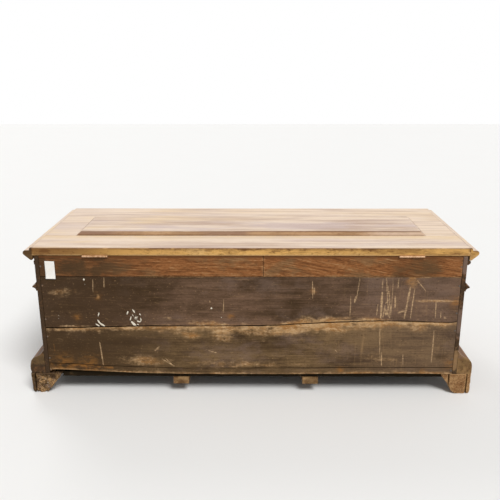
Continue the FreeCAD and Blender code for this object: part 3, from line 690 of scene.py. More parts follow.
def lid_wood(name, axis, seed, streaky=0.5):
    """The lid's walnut: bleached and streaky on top, where its colour also holds a painted sheen, golden and
    stained on its rear edge with a chipped dark line along the top arris, brown on its mouldings, browner
    with dirt and painted shade on the rear bevel of its panel, and with a painted shadow where the panel
    meets the rail."""
    tints = bpy.context.scene.chest_colours
    low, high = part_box("lid_rail_back")
    middle_z = 0.5 * (low.z + high.z)
    finish = Finish(name)
    wood = grain(finish, axis, seed, rings=26.0, streaks=56.0)
    scuff = finish.drawn(0.35, 70.0, 5.0, 0.7)
    specks = finish.drawn(0.45, 150.0, 5.0, 0.72)
    clouds = finish.drawn(0.3, 22.0, 5.0, 0.66)
    tone = wood["streak"] + (wood["rings"] - 0.5) * 0.10 + (wood["fibre"] - 0.5) * 0.3
    dull = finish.between(tone, 0.42, 0.70)
    rear = finish.between(finish.axis(Y), high.y - 0.009, high.y - 0.003)
    top = finish.axis(Z) + (scuff - 0.5) * rear * 0.006
    top = finish.between(top, high.z - 0.0018, high.z - 0.0006)
    # Faces that look up take the top's colour, which holds a painted sheen
    top = top.most(finish.between(finish.mark("up"), 0.25, 0.75) * (1 - rear * 0.6))
    edge = lid_edge(finish, wood, tone, specks, clouds, rear, seed)
    colour = finish.mix(top, edge, faded_and_sheen_top(finish, wood, dull, scuff, seed, streaky))

    arris = finish.mark("arris") * rear
    upper = finish.between(finish.axis(Z), middle_z - 0.001, middle_z + 0.001)
    chips = (arris * upper * finish.between(scuff, 0.36, 0.52)).clamped()
    colour = finish.mix(chips * 0.8, colour, tints.golden_dark)
    rubbed = (arris * (1 - upper) * finish.between(scuff, 0.40, 0.56)).clamped()
    colour = finish.mix(rubbed * 0.7, colour, tints.golden_pale)
    # The rear bevel of the panel is browner: dirt and painted shade
    colour = finish.mix(finish.mark("bevel") * 0.92, colour, panel_bevel(finish, specks, clouds))
    # A painted shadow where the panel meets the rail, and a dark line along the top of its bevel
    line = (finish.mark("line") * finish.between(scuff, 0.30, 0.50)).clamped()
    colour = finish.mix(line * 0.8, colour, tints.golden_dark)
    cut = finish.mark("cut") * (0.15 + finish.between(finish.axis(X), -0.5, 0.5) * 0.65)
    colour = finish.mix(cut, colour, tints.back_dark)
    roughness = 0.36 + wood["fibre"] * 0.12 + dull * 0.14 + (1 - top) * 0.2
    height = wood["fibre"] * 0.4 - wood["pores"] * 0.6 + scuff * 0.35
    return finish.surface(colour, roughness, height, depth=0.0004, shine=0.14)


def back_wood(name, seed, tint):
    """Back boards: dusty, dark stained wood with bare bands, scratches, rust, grime and splashes of white
    paint, whose places come from the board's own marks."""
    tints = bpy.context.scene.chest_colours
    finish = Finish(name)
    wood = grain(finish, X, seed, rings=30.0)
    cloud = finish.drawn(0.45, 6.0, 7.0, 0.64, (seed, 0.0, 0.0))
    patchy = finish.drawn(0.35, 36.0, 6.0, 0.68, (5.0, 0.0, 2.0))
    bloom = finish.drawn(0.6, 11.0, 6.0, 0.66, (3.0, 0.0, seed))
    scuffs = finish.drawn(0.5, 60.0, 6.0, 0.72)
    lines = finish.drawn(0.05, 150.0, 4.0, 0.7)
    flecks = finish.drawn(0.6, 190.0, 4.0, 0.75)
    upright = finish.mottle(finish.stretched(finish.place, (1.0, 1.0, 0.08)), 90.0, 5.0, 0.7)
    tone = cloud * 0.55 + wood["streak"] * 0.25 + patchy * 0.35 + (wood["fibre"] - 0.5) * 0.25
    colour = finish.tinted(tints.back_dark, tint, tone, 0.44, 0.72)
    colour = finish.tinted(colour, tints.back_dust, bloom, 0.48, 0.70, 0.5)
    colour = finish.tinted(colour, tints.back_dark, finish.axis(X), 0.15, 0.55, 0.86)
    colour = finish.tinted(colour, tints.back_dust, finish.axis(X), -0.15, -0.60, 0.25)
    colour = finish.tinted(colour, tints.back_worn, lines, 0.58, 0.74, 0.22)
    colour = finish.tinted(colour, tints.back_worn, flecks, 0.60, 0.70, 0.4)
    colour = finish.tinted(colour, tints.back_dark, flecks, 0.44, 0.32, 0.6)

    grime = finish.mark("grime") * 0.8 + (patchy - 0.5) * 1.4 + (scuffs - 0.5) * 0.8
    colour = finish.tinted(colour, tints.back_dark, grime, 0.35, 0.95, 0.7)
    smear = finish.mark("smear") * finish.between(upright * 0.8 + scuffs * 0.2, 0.52, 0.68)
    colour = finish.mix(smear.clamped() * 0.45, colour, tints.back_worn)
    uneven = (scuffs - 0.5) * 1.9 + (upright - 0.5) * 0.6 + (patchy - 0.5) * 1.3
    worn = finish.mark("worn") * 1.1 + uneven * (0.5 + finish.mark("worn") * 0.7)
    bare = finish.between(worn, 0.12, 0.92)
    worn_tone = finish.tinted(tints.back_worn, tints.rust, patchy, 0.42, 0.60, 0.75)
    worn_tone = finish.tinted(worn_tone, tints.scratch, scuffs * 0.55 + flecks * 0.45, 0.47, 0.60, 0.85)
    worn_tone = finish.tinted(worn_tone, tints.back_dark, lines, 0.46, 0.34, 0.55)
    colour = finish.mix(bare * 0.95, colour, worn_tone)
    scratch = (finish.mark("scratch") * (0.42 + finish.between(flecks, 0.42, 0.62) * 0.80)).clamped()
    colour = finish.mix(scratch * 0.9, colour, tints.scratch)
    rust = (finish.mark("rust") * finish.between(scuffs, 0.40, 0.60)).clamped()
    colour = finish.mix(rust * 0.7, colour, tints.rust)
    paint = finish.between(finish.mark("paint") + (flecks - 0.5) * 1.2, 0.50, 0.75)
    colour = finish.mix(paint, colour, tints.chalk)
    roughness = 0.58 + wood["fibre"] * 0.20 + bare * 0.10
    height = wood["fibre"] * 0.4 + scuffs * 0.6 + flecks * 0.3 + bare * 0.3 - scratch * 0.6 + paint * 0.5
    return finish.surface(colour, roughness, height, depth=0.0010, shine=0.10)


def rail_wood(name, seed, turn, sooty):
    """The rail along the top of the back: wavy, fine grain, reddish and olive by turns, with rubbed flecks,
    and painted shade with dirt along its top, under the lid. sooty is four places along X and a share: the
    rail grows sooty from the first place to the second, and clean again from the third to the fourth."""
    tints = bpy.context.scene.chest_colours
    finish = Finish(name)
    wood = grain(finish, X, seed, streaks=300.0, turn=turn)
    slanted = finish.stretched(finish.place, turn=(0.0, turn, 0.0))
    wavy = finish.mottle(finish.stretched(slanted, (0.13, 1.0, 1.0)), 95.0, 5.0, 0.68, 1.6)
    cloud = finish.drawn(0.5, 18.0, 5.0, 0.64, (seed, 0.0, 0.0))
    fine = finish.drawn(0.4, 210.0, 4.0, 0.72)
    tone = wood["streak"] * 0.45 + wavy * 0.55 + (wood["fibre"] - 0.5) * 0.4 + (fine - 0.5) * 0.3
    colour = finish.tinted(tints.rail_dark, tints.rail, tone, 0.38, 0.56)
    colour = finish.tinted(colour, tints.back_olive, cloud, 0.46, 0.62, 0.55)
    colour = finish.tinted(colour, tints.back_worn, tone, 0.54, 0.68, 0.65)
    colour = finish.tinted(colour, tints.rail_dark, fine, 0.44, 0.32, 0.5)
    *places, share = sooty
    along_x = finish.axis(X)
    patchy = 0.45 + finish.between(fine * 0.4 + cloud * 0.6, 0.40, 0.58) * 0.8
    soot_and_shade = finish.within(along_x, *places) * patchy * share
    soot_and_shade = soot_and_shade.most(finish.between(along_x, 0.668, 0.682) * 0.85)
    colour = finish.mix(soot_and_shade.clamped(), colour, tints.back_dark)
    rubbed = finish.mark("arris") * finish.between(fine, 0.40, 0.64) * (0.4 - soot_and_shade * 0.5)
    colour = finish.mix(rubbed.clamped(), colour, tints.back_worn)
    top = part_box(name)[1].z
    # Painted shade with dirt: the top of the rail darkens under the lid's overhang
    shade_and_dirt_under_lid = finish.axis(Z) + (fine - 0.5) * 0.004
    colour = finish.tinted(colour, tints.rail_dark, shade_and_dirt_under_lid, top - 0.0085, top - 0.0045, 0.75)
    roughness = 0.50 + wood["fibre"] * 0.15 + fine * 0.15
    height = wavy * 0.5 + wood["fibre"] * 0.4 + fine * 0.4
    return finish.surface(colour, roughness, height, depth=0.0006, shine=0.10)


def foot_wood(name, side):
    """Bare end grain of the feet: rings round a pith, pores and dirt. The one on the right has decayed, with
    worm holes, dust, and dirt towards its top and its outer face."""
    tints = bpy.context.scene.chest_colours
    decayed = side > 0
    finish = Finish(name)
    wood = grain(finish, Y, 140 + side, rings=190.0, pith=(side * 0.728, 0.0, 0.013))
    broad = finish.mottle(finish.place, 45.0, 5.0, 0.68)
    fine = finish.mottle(finish.place, 220.0, 3.0, 0.65)
    tone = (wood["rings"] - 0.5) * 0.25 + broad + (fine - 0.5) * 0.5
    low, high = (0.30, 0.60) if decayed else (0.36, 0.64)
    colour = finish.tinted(tints.back_worn, tints.back_dark if decayed else tints.walnut, tone, low, high)
    holes = finish.between(fine, 0.56, 0.66)
    colour = finish.mix(holes * (0.85 if decayed else 0.3), colour, tints.back_dark)
    specks = finish.mottle(finish.place, 170.0, 3.0, 0.7)
    colour = finish.tinted(colour, tints.chalk, specks, 0.63, 0.69, 0.8 if decayed else 0.2)
    rubbed = (finish.mark("arris") * finish.between(broad, 0.35, 0.6)).clamped()
    colour = finish.mix(rubbed * 0.5, colour, tints.back_worn)
    if decayed:
        uneven = (broad - 0.5) * 0.06
        upper = finish.between(finish.axis(Z) + uneven, 0.046, 0.074) * 0.70
        outer = finish.between(finish.axis(X) + uneven, 0.730, 0.754) * 0.75
        colour = finish.tinted(colour, tints.back_dust, finish.mottle(finish.place, 60.0), 0.50, 0.62, 0.5)
        colour = finish.mix(upper.most(outer), colour, tints.back_dark)
    height = broad * 0.6 + fine * 0.4 - holes * 0.8
    return finish.surface(colour, 0.7 + fine * 0.2, height, depth=0.0014, shine=0.08)


# Marks on the back. Strokes are two ends, as X and Z, and half a width.

SCRATCHES = [
    (-0.441, 0.378, -0.441, 0.287, 0.0034), (-0.452, 0.429, -0.466, 0.292, 0.0014),
    (-0.468, 0.350, -0.462, 0.296, 0.0016), (-0.485, 0.364, -0.487, 0.326, 0.0026),
    (-0.533, 0.396, -0.527, 0.340, 0.0030), (-0.548, 0.392, -0.541, 0.286, 0.0016),
    (-0.498, 0.306, -0.525, 0.313, 0.0022), (-0.456, 0.318, -0.459, 0.298, 0.0024),
    (-0.337, 0.364, -0.337, 0.292, 0.0012), (-0.364, 0.429, -0.355, 0.348, 0.0010),
    (-0.440, 0.429, -0.440, 0.386, 0.0010), (-0.474, 0.429, -0.476, 0.290, 0.0010),
    (-0.623, 0.346, -0.625, 0.287, 0.0014), (-0.642, 0.310, -0.643, 0.286, 0.0014),
    (-0.451, 0.156, -0.454, 0.109, 0.0016), (-0.525, 0.150, -0.528, 0.110, 0.0012),
    (-0.625, 0.240, -0.625, 0.122, 0.0014), (-0.440, 0.250, -0.446, 0.140, 0.0010),
    (-0.555, 0.420, -0.584, 0.386, 0.0012), (-0.600, 0.350, -0.705, 0.347, 0.0018),
    (0.525, 0.422, 0.528, 0.379, 0.0012), (0.487, 0.428, 0.490, 0.395, 0.0014),
    (0.090, 0.350, 0.091, 0.302, 0.0010), (0.518, 0.194, 0.511, 0.108, 0.0018),
    (0.330, 0.162, 0.314, 0.177, 0.0016), (0.305, 0.130, 0.264, 0.104, 0.0016),
    (0.294, 0.134, 0.269, 0.106, 0.0012), (0.145, 0.163, 0.114, 0.154, 0.0012),
    (-0.505, 0.2695, -0.677, 0.2645, 0.0018), (-0.187, 0.4305, -0.435, 0.4300, 0.0008),
    (0.600, 0.2540, 0.650, 0.2525, 0.0016), (-0.207, 0.416, -0.209, 0.357, 0.0014),
    (-0.214, 0.395, -0.213, 0.372, 0.0022), (-0.299, 0.158, -0.292, 0.166, 0.0014),
    (0.167, 0.348, 0.136, 0.348, 0.0010), (0.136, 0.348, 0.136, 0.340, 0.0010),
    (-0.353, 0.362, -0.350, 0.342, 0.0024), (-0.458, 0.402, -0.470, 0.340, 0.0012),
    (-0.527, 0.340, -0.520, 0.285, 0.0026), (-0.428, 0.333, -0.427, 0.296, 0.0014),
    (-0.493, 0.428, -0.492, 0.394, 0.0014), (-0.467, 0.357, -0.454, 0.338, 0.0018),
    (-0.453, 0.330, -0.448, 0.288, 0.0020), (-0.472, 0.334, -0.471, 0.286, 0.0018),
    (-0.460, 0.312, -0.457, 0.298, 0.0034), (-0.655, 0.288, -0.660, 0.286, 0.0030),
]
SPLASHES = [
    (0.512, 0.304, 0.517, 0.290, 0.0020), (0.519, 0.276, 0.512, 0.264, 0.0030),
    (0.512, 0.264, 0.497, 0.254, 0.0036), (0.527, 0.262, 0.515, 0.254, 0.0030),
    (0.398, 0.314, 0.392, 0.304, 0.0030), (0.414, 0.308, 0.418, 0.298, 0.0028),
    (0.405, 0.288, 0.408, 0.276, 0.0022), (0.404, 0.270, 0.390, 0.254, 0.0046),
    (0.385, 0.272, 0.374, 0.270, 0.0024), (0.391, 0.287, 0.389, 0.284, 0.0018),
    (0.132, 0.321, 0.131, 0.319, 0.0040), (0.555, 0.423, 0.555, 0.421, 0.0050),
    (0.372, 0.284, 0.372, 0.272, 0.0018), (0.100, 0.288, 0.097, 0.286, 0.0022),
    (0.376, 0.300, 0.372, 0.294, 0.0018), (0.400, 0.296, 0.397, 0.292, 0.0016),
    (0.386, 0.262, 0.380, 0.258, 0.0018), (0.556, 0.407, 0.551, 0.406, 0.0016),
]
RUST_STROKES = [(0.690, 0.113, 0.480, 0.097, 0.0055), (0.677, 0.195, 0.676, 0.160, 0.0014)]
# Spots are their middle, then one size or half a width and half a height, then a strength if they have one.
PAINT_SPOTS = [(0.387, 0.283, 0.020, 0.022, 0.58), (0.650, 0.286, 0.010, 0.022, 0.48)]
RUST_SPOTS = [
    (0.512, 0.363, 0.011), (0.587, 0.284, 0.012), (0.066, 0.290, 0.010), (-0.535, 0.420, 0.018),
    (0.650, 0.102, 0.04), (0.56, 0.096, 0.04), (-0.690, 0.345, 0.02), (-0.212, 0.385, 0.010),
    (-0.312, 0.089, 0.012), (-0.594, 0.082, 0.012), (-0.69, 0.115, 0.02),
]
GRIME_SPOTS = [
    (0.383, 0.286, 0.020, 0.018), (-0.655, 0.142, 0.032, 0.018), (0.56, 0.40, 0.09, 0.03),
    (0.40, 0.195, 0.16, 0.03), (0.60, 0.18, 0.09, 0.05), (0.60, 0.325, 0.09, 0.03),
    (-0.02, 0.300, 0.10, 0.014), (-0.08, 0.175, 0.12, 0.02),
]
BARE_SPOTS = [
    (0.38, 0.125, 0.07, 0.020, 0.65), (-0.44, 0.132, 0.09, 0.014, 0.45), (0.625, 0.374, 0.05, 0.016, 0.45),
    (-0.62, 0.349, 0.09, 0.006, 0.50), (-0.540, 0.415, 0.02, 0.020, 0.58), (0.05, 0.112, 0.22, 0.018, 0.40),
    (-0.12, 0.233, 0.06, 0.012, 0.55), (0.20, 0.218, 0.03, 0.012, 0.65), (0.09, 0.222, 0.03, 0.022, 0.50),
    (0.278, 0.284, 0.02, 0.006, 0.50), (-0.10, 0.20, 0.25, 0.020, 0.15), (-0.57, 0.250, 0.05, 0.014, 0.40),
    (-0.58, 0.30, 0.10, 0.06, 0.12), (0.60, 0.21, 0.10, 0.03, 0.10), (0.512, 0.363, 0.007, 0.010, 0.75),
]
SMEARS = [(-0.50, 0.17, 0.18, 0.07, 0.9), (-0.47, 0.35, 0.13, 0.09, 0.7)]
HOLES = [(0.555, 0.425), (0.623, 0.298), (0.656, 0.298), (0.555, 0.299)]
HOLE_SIZE, HOLE_DEPTH = 0.0028, 0.004
GROOVE_DEPTH = 0.0005
RIDGES = 0.0004
# How far the joint, and the lower edge of the strip, leave a straight line at places along X
JOINT_X = (-0.70, -0.672, -0.56, -0.438, -0.33, -0.236, -0.12, -0.032, 0.15, 0.35, 0.513, 0.647, 0.70)
JOINT_OFF = (0.0, -0.003, 0.004, 0.0077, 0.006, 0.0033, -0.002, -0.004, -0.002, 0.001, 0.0, -0.001, 0.0)
STRIP_X = (-0.70, -0.48, -0.20, 0.0, 0.24, 0.40, 0.53, 0.62, 0.70)
STRIP_OFF = (-0.002, -0.001, -0.004, -0.0055, -0.0055, -0.001, 0.004, 0.010, 0.012)
# At places along X: the share and height of the bare band under the joint, then of the one above it
WORN = [
    (-0.70, 0.55, 0.010, 0.00, 0.006), (-0.58, 1.02, 0.015, 0.05, 0.006), (-0.48, 1.20, 0.020, 0.30, 0.007),
    (-0.40, 1.30, 0.024, 0.95, 0.015), (-0.20, 1.26, 0.026, 1.00, 0.024), (-0.10, 0.98, 0.022, 0.50, 0.012),
    (0.00, 0.98, 0.022, 0.45, 0.010), (0.12, 0.98, 0.024, 0.70, 0.018), (0.25, 0.88, 0.019, 0.50, 0.014),
    (0.40, 0.80, 0.018, 0.25, 0.010), (0.62, 0.74, 0.015, 0.40, 0.008), (0.70, 0.50, 0.010, 0.20, 0.006),
]


def joint_height(x):
    """Height of the back's wandering joint: the frame's straight line, and offsets eased between a few
    places."""
    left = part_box("back_lower_board")[1].z
    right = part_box("back_upper_board")[0].z
    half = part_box("back_lower_board")[1].x
    line = left + (right - left) * (x + half) / (2 * half)
    return line + np.interp(x, JOINT_X, JOINT_OFF) + 0.0008 * noise(np.stack([x, x, x], -1), 0.03, 3)


def near_line(x, z, x0, z0, x1, z1, width):
    """1 on a straight stroke and 0 away from it, by the distance to its nearest point. It thins out at both
    ends."""
    dx, dz = x1 - x0, z1 - z0
    along = np.clip(((x - x0) * dx + (z - z0) * dz) / (dx * dx + dz * dz), 0, 1)
    away = np.hypot(x - x0 - along * dx, z - z0 - along * dz)
    return np.clip(1.5 - away / (width * (0.6 + 0.4 * np.sin(math.pi * along))), 0, 1)


def near_spot(x, z, x0, z0, width, height, strength=1.0):
    """A bell curve of the distance from a spot's middle."""
    return strength * np.exp(-((x - x0) / width)**2 - ((z - z0) / height)**2)


def back_marks(points):
    """Values for the back's finish. Bare wood follows the joint on both sides of it, and the lower edge of
    the strip. Smears are brushed downwards, strokes are scratches and flecks of paint, and spots are rust
    and grime."""
    x, z = points[:, X], points[:, Z]
    outer = (points[:, Y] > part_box("back_lower_board")[1].y - 0.004).astype(float)
    only_x = np.stack([x, 0 * x, 0 * x], -1)

    def strokes(rows):
        return [near_line(x, z, *row) for row in rows]

    def spots(rows):
        return [near_spot(x, z, *row) for row in rows]

    below = joint_height(x) - z
    places, *columns = np.transpose(WORN)
    share_below, tall_below, share_above, tall_above = (np.interp(x, places, column) for column in columns)
    drips = 0.5 + 0.5 * rough(only_x, 0.06, 40) + 0.3 * np.clip(noise(only_x, 0.012, 44), 0, 1)
    breaks = 0.5 + 0.5 * rough(points, (0.06, 1.0, 0.014), 41)
    under = share_below * np.exp(-(below / (tall_below * (0.55 + 0.9 * drips)))**2)
    over = share_above * np.exp(-(below / (tall_above * (0.5 + 0.9 * breaks)))**2)
    band = np.where(below >= 0, under, over)
    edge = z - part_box("back_bottom_strip")[0].z - np.interp(x, STRIP_X, STRIP_OFF)
    ragged = np.exp(-(edge / 0.010)**2) * (0.7 + 0.3 * rough(only_x, 0.1, 43))
    from_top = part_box("back_upper_board")[1].z - z
    arris = np.exp(-(from_top / 0.0022)**2) * np.clip(0.5 + rough(only_x, 0.16, 45) - x, 0, 1)
    bare = np.sum(spots(BARE_SPOTS), 0) * (0.6 + 0.6 * breaks)
    round_spots = [(x0, z0, size, size) for x0, z0, size in RUST_SPOTS]
    values = {
        "worn": band * (0.35 + 0.9 * breaks) + bare + ragged + 0.8 * arris,
        "scratch": np.max(strokes(SCRATCHES), 0),
        "smear": np.sum(spots(SMEARS), 0),
        "paint": np.max(strokes(SPLASHES) + spots(PAINT_SPOTS), 0),
        "rust": np.max(spots(round_spots) + strokes(RUST_STROKES), 0),
        "grime": np.max(spots(GRIME_SPOTS), 0),
    }
    return {key: value * outer for key, value in values.items()}


def back_relief(points):
    """Hollows and tool marks of the back: waves along the grain, old nail holes, and a groove at each
    scratch."""
    x, z = points[:, X], points[:, Z]
    wave = bpy.context.scene.chest_sizes.hollows * (0.5 + 0.5 * rough(points, (0.22, 0.5, 0.05), 51))
    ridge = RIDGES * (0.5 + 0.5 * rough(points, (0.06, 0.5, 0.006), 53))
    holes = np.sum([near_spot(x, z, *hole, HOLE_SIZE, HOLE_SIZE) for hole in HOLES], 0) * HOLE_DEPTH
    grooves = np.max([near_line(x, z, *stroke) for stroke in SCRATCHES], 0) * GROOVE_DEPTH
    return wave + ridge + holes + grooves


# Pieces

class CHEST_OT_back_boards(bpy.types.Operator):
    """The two wide back boards with their wandering joint, and the strip below them"""

    bl_idname = "chest.back_boards"
    bl_label = "Back boards"

    def execute(self, context):
        sizes, tints = context.scene.chest_sizes, context.scene.chest_colours
        low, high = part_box("back_lower_board")
        upper_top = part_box("back_upper_board")[1].z
        strip_low, strip_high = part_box("back_bottom_strip")
        x = steps(low.x, high.x, sizes.fine_pitch)
        flat = np.stack([x, x, x], -1)
        joint = joint_height(x)
        sag = np.interp(x, STRIP_X, STRIP_OFF)
        torn = 0.0025 * (0.5 + 0.5 * rough(flat, 0.05, 61)) + 0.0025 * np.clip(rough(flat, 0.25, 62), 0, 1)
        gap = 0.0003 + 0.0011 * (0.5 + 0.5 * noise(flat, 0.16, 63))
        seam = 0.0002 + 0.0005 * (0.5 + 0.5 * noise(flat, 0.11, 64))
        worn, close, crack = sizes.arris, sizes.seam_arris, sizes.crack_arris
        boards = {
            "back_lower_board": (strip_high.z + sag + seam, joint - gap, close, crack, 71, tints.back_olive),
            "back_upper_board": (joint + gap, upper_top - seam, worn, close, 72, tints.back),
            "back_bottom_strip": (strip_low.z + sag + torn, strip_high.z + sag - seam, worn, close, 73,
                                  tints.back_olive),
        }
        pitches = [0.02, sizes.fine_pitch * 1.7, 0.02, 0.05]
        for node, (bottom, top, arris_below, arris_above, seed, tint) in boards.items():
            tall = float(np.mean(top - bottom))
            radii = [arris_below, arris_below, arris_above, arris_above]
            unit = eased(rectangle((low.y, high.y), (0.0, tall)), radii, pitches)
            loops = np.empty((len(x), len(unit), 2))
            loops[..., 0] = unit[:, 0]
            loops[..., 1] = bottom[:, None] + unit[:, 1] / tall * (top - bottom)[:, None]
            piece(node, carry(loops, x, X, SAWN_END), back_wood(node, seed, tint), "case",
                  back_relief, back_marks)
        return {"FINISHED"}


class CHEST_OT_top_rails(bpy.types.Operator):
    """The two lengths of the rail along the top of the back"""

    bl_idname = "chest.top_rails"
    bl_label = "Top rails of the back"

    def execute(self, context):
        sizes = context.scene.chest_sizes
        gap = 0.0004
        turns = {"left": math.radians(10), "right": math.radians(2)}
        soots = {"left": (-0.44, -0.50, -0.60, -0.67, 0.45), "right": (0.28, 0.53, 0.80, 0.90, 0.68)}
        radii = [sizes.seam_arris, sizes.seam_arris, sizes.arris, sizes.arris]
        pitches = [0.02, 0.006, 0.02, 0.02]
        for name, side in SIDES.items():
            node = f"back_top_rail_{name}"
            low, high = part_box(node)
            loop = eased(rectangle((low.y, high.y), (low.z, high.z)), radii, pitches)
            solid = carry(loop, steps(low.x + gap, high.x - gap, sizes.pitch), X, SAWN_END)
            wood = rail_wood(node, 80 + side, turns[name], soots[name])
            piece(node, solid, wood, "case", planed((0.16, 0.3, 0.03), 81))
        return {"FINISHED"}


class CHEST_OT_end_boards(bpy.types.Operator):
    """The end boards, rebated for the back"""

    bl_idname = "chest.end_boards"
    bl_label = "End boards"

    def execute(self, context):
        sizes, tints = context.scene.chest_sizes, context.scene.chest_colours
        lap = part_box("back_lower_board")
        soots = {"left": 1.0, "right": 1.5}
        dusts = {
            "left": [(0.478, 0.040, 0.80, tints.back_dust), (0.270, 0.060, 0.70, tints.back_dust),
                     (0.128, 0.050, 0.45, tints.back_worn)],
            "right": [],
        }
        for name, side in SIDES.items():
            node = f"end_{name}"
            low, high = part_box(node)
            inner, outer = (low.x, high.x) if side > 0 else (high.x, low.x)
            lap_x = lap[1].x * side
            corners = [(inner, low.y), (outer, low.y), (outer, high.y), (lap_x, high.y), (lap_x, lap[0].y),
                       (inner, lap[0].y)]
            solid = carry(eased(corners, sizes.arris, pitch=0.012), steps(low.z, high.z, sizes.pitch), Z)
            soot_and_shade = (Y, lap[0].y, lap[1].y - 0.004, soots[name], tints.back_dark)
            wood = case_walnut(node, Y, 90 + side, soot_and_shade, dusty=dusts[name])
            piece(node, solid, wood, "case", planed((0.05, 0.2, 0.06), 91 + side))
        return {"FINISHED"}


def arc(first, via, last, count=12):
    """Points of the circle through three points, from the first to the last, without the first."""
    a, b, c = (complex(*p) for p in (first, via, last))
    w = (c - a) / (b - a)
    centre = (b - a) * (w - abs(w)**2) / (2j * w.imag) + a
    start, middle, end = (np.angle(p - centre) for p in (a, b, c))
    way = 1 if (middle - start) % math.tau < (end - start) % math.tau else -1
    sweep = way * ((way * (end - start)) % math.tau)
    angles = start + sweep * np.linspace(0, 1, count + 1)[1:]
    return np.stack([centre.real + abs(a - centre) * np.cos(angles),
                     centre.imag + abs(a - centre) * np.sin(angles)], -1)


def profile_points(profile, out, height, count=72):
    """A moulding's outline from its shares: straight runs, and arcs as circles through three points. The
    outline is then divided evenly and eased by its neighbours."""
    size = np.array([out, height])
    here = np.array([0.0, 1.0]) * size
    points = [here[None]]
    for step in profile:
        there = np.array(step[-2:]) * size
        if len(step) == 4:
            points.append(arc(here, np.array(step[:2]) * size, there))
        else:
            points.append(there[None])
        here = there
    line = np.concatenate(points + [points[0]])
    run = np.concatenate([[0], np.cumsum(np.linalg.norm(np.diff(line, axis=0), axis=1))])
    even = np.linspace(0, run[-1], count + 1)[:-1]
    loop = np.stack([np.interp(even, run, line[:, k]) for k in range(2)], -1)
    return 0.5 * loop + 0.25 * (np.roll(loop, 1, 0) + np.roll(loop, -1, 0))


LID_PROFILE = [(0.22, 1.0), (0.30, 0.77), (0.72, 0.77), (0.93, 0.72, 1.0, 0.585), (0.975, 0.49, 0.90, 0.42),
               (0.20, 0.0), (0.0, 0.0)]
TOP_PROFILE = [(1.0, 1.0), (1.0, 0.8), (0.82, 0.36, 0.36, 0.16), (0.36, 0.0), (0.0, 0.0)]
WAIST_PROFILE = [(0.2, 1.0), (0.38, 0.73, 0.77, 0.63), (1.0, 0.5, 0.77, 0.39), (0.70, 0.39),
                 (0.33, 0.24, 0.2, 0.0), (0.0, 0.0)]
BASE_PROFILE = [(0.08, 1.0), (0.08, 0.965), (0.27, 0.84, 0.52, 0.75), (0.866, 0.606, 1.0, 0.36),
                (1.0, 0.0), (0.0, 0.0)]


def moulding_run(profile, out, z, wall, corner_y, back_y, side):
    """One run of a moulding: its outline carried along an end (side -1 or 1) or along the front (side 0),
    with its points drawn out towards the mitre in step with how far each stands out."""
    pitch = bpy.context.scene.chest_sizes.pitch
    loop = profile_points(profile, out, z[1] - z[0])
    if side:
        outline = np.stack([z[0] + loop[:, 1], side * (wall + loop[:, 0])], -1)
        stations = steps(corner_y - out, back_y, pitch)
        axis = Y
    else:
        outline = np.stack([corner_y - loop[:, 0], z[0] + loop[:, 1]], -1)
        stations = steps(-wall - out, wall + out, pitch)
        axis = X
    if turning(outline) < 0:
        outline = outline[::-1]
    points, faces = carry(outline, stations, axis, CRISP_END)
    if side:
        stands = side * points[:, X] - wall
        share_of_run = (back_y - points[:, Y]) / (back_y - corner_y + out)
        points[:, Y] += share_of_run * (out - stands)
    else:
        stands = corner_y - points[:, Y]
        points[:, X] *= (wall + stands) / (wall + out)
    return points, faces


def broken_off(run, wall, back, reach, left=0.15):
    """A run along the right end that has lost its rear stretch: over the last reach before the back, how far
    each point stands out from the wall eases down to the share that is left, with a ragged break."""
    points, faces = run
    near = np.clip(1 - (back - points[:, Y]) / reach + 0.15 * noise(points, 0.012, 107), 0, 1)
    points[:, X] = wall + (points[:, X] - wall) * (1 - (1 - left) * near * near * (3 - 2 * near))
    return points, faces


class CHEST_OT_mouldings(bpy.types.Operator):
    """The base moulding, the waist moulding and the small moulding under the lid"""

    bl_idname = "chest.mouldings"
    bl_label = "Mouldings of the case"

    def execute(self, context):
        sizes, tints = context.scene.chest_sizes, context.scene.chest_colours
        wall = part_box("end_right")[1].x
        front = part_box("front_stile_left")[0].y
        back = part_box("end_right")[1].y
        sooted = (Y, back - 0.012, back - 0.001)
        soots = {"left": (0.45, tints.end_grain), "right": (0.85, tints.back_dark),
                 "front": (0.0, tints.back_dark)}
        dusts = {
            "left": [(0.118, 0.024, 0.25, tints.back_dark), (0.148, 0.014, 0.35, tints.back_dust)],
            "right": [(0.128, 0.026, 0.18, tints.end_grain)],
            "front": [],
        }
        chips = {"left": 0.5 * sizes.chip, "right": sizes.chip, "front": 0.0}
        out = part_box("base_moulding_front")[1].x - wall
        for name, side in RUNS.items():
            node = f"base_moulding_{name}"
            low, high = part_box(node)
            run = moulding_run(BASE_PROFILE, out, (low.z, high.z), wall, front, back, side)
            soot_and_shade = (*sooted, *soots[name])
            wood = case_walnut(node, Y if side else X, 102 + side, soot_and_shade, dusty=dusts[name])
            piece(node, run, wood, "case", chipped(chips[name], back, 101))
        soot_and_shade = (*sooted, 0.8, tints.back_dark)
        for node, profile in (("waist_moulding", WAIST_PROFILE), ("top_moulding", TOP_PROFILE)):
            low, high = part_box(node)
            runs = [moulding_run(profile, high.x - wall, (low.z, high.z), wall, front, back, side)
                    for side in RUNS.values()]
            if node == "top_moulding":
                runs[1] = broken_off(runs[1], wall, back, sizes.broken)
            made = piece(node, together(*runs), case_walnut(node, X, 105, soot_and_shade), "case",
                         chipped(0.12 * sizes.chip, back, 103))
            made.data.materials.append(case_walnut(f"{node}_ends", Y, 106, soot_and_shade))
            finish_of_run = np.repeat([1, 1, 0], [len(run[1]) for run in runs])
            made.data.polygons.foreach_set("material_index", finish_of_run.astype(np.int32))
        return {"FINISHED"}


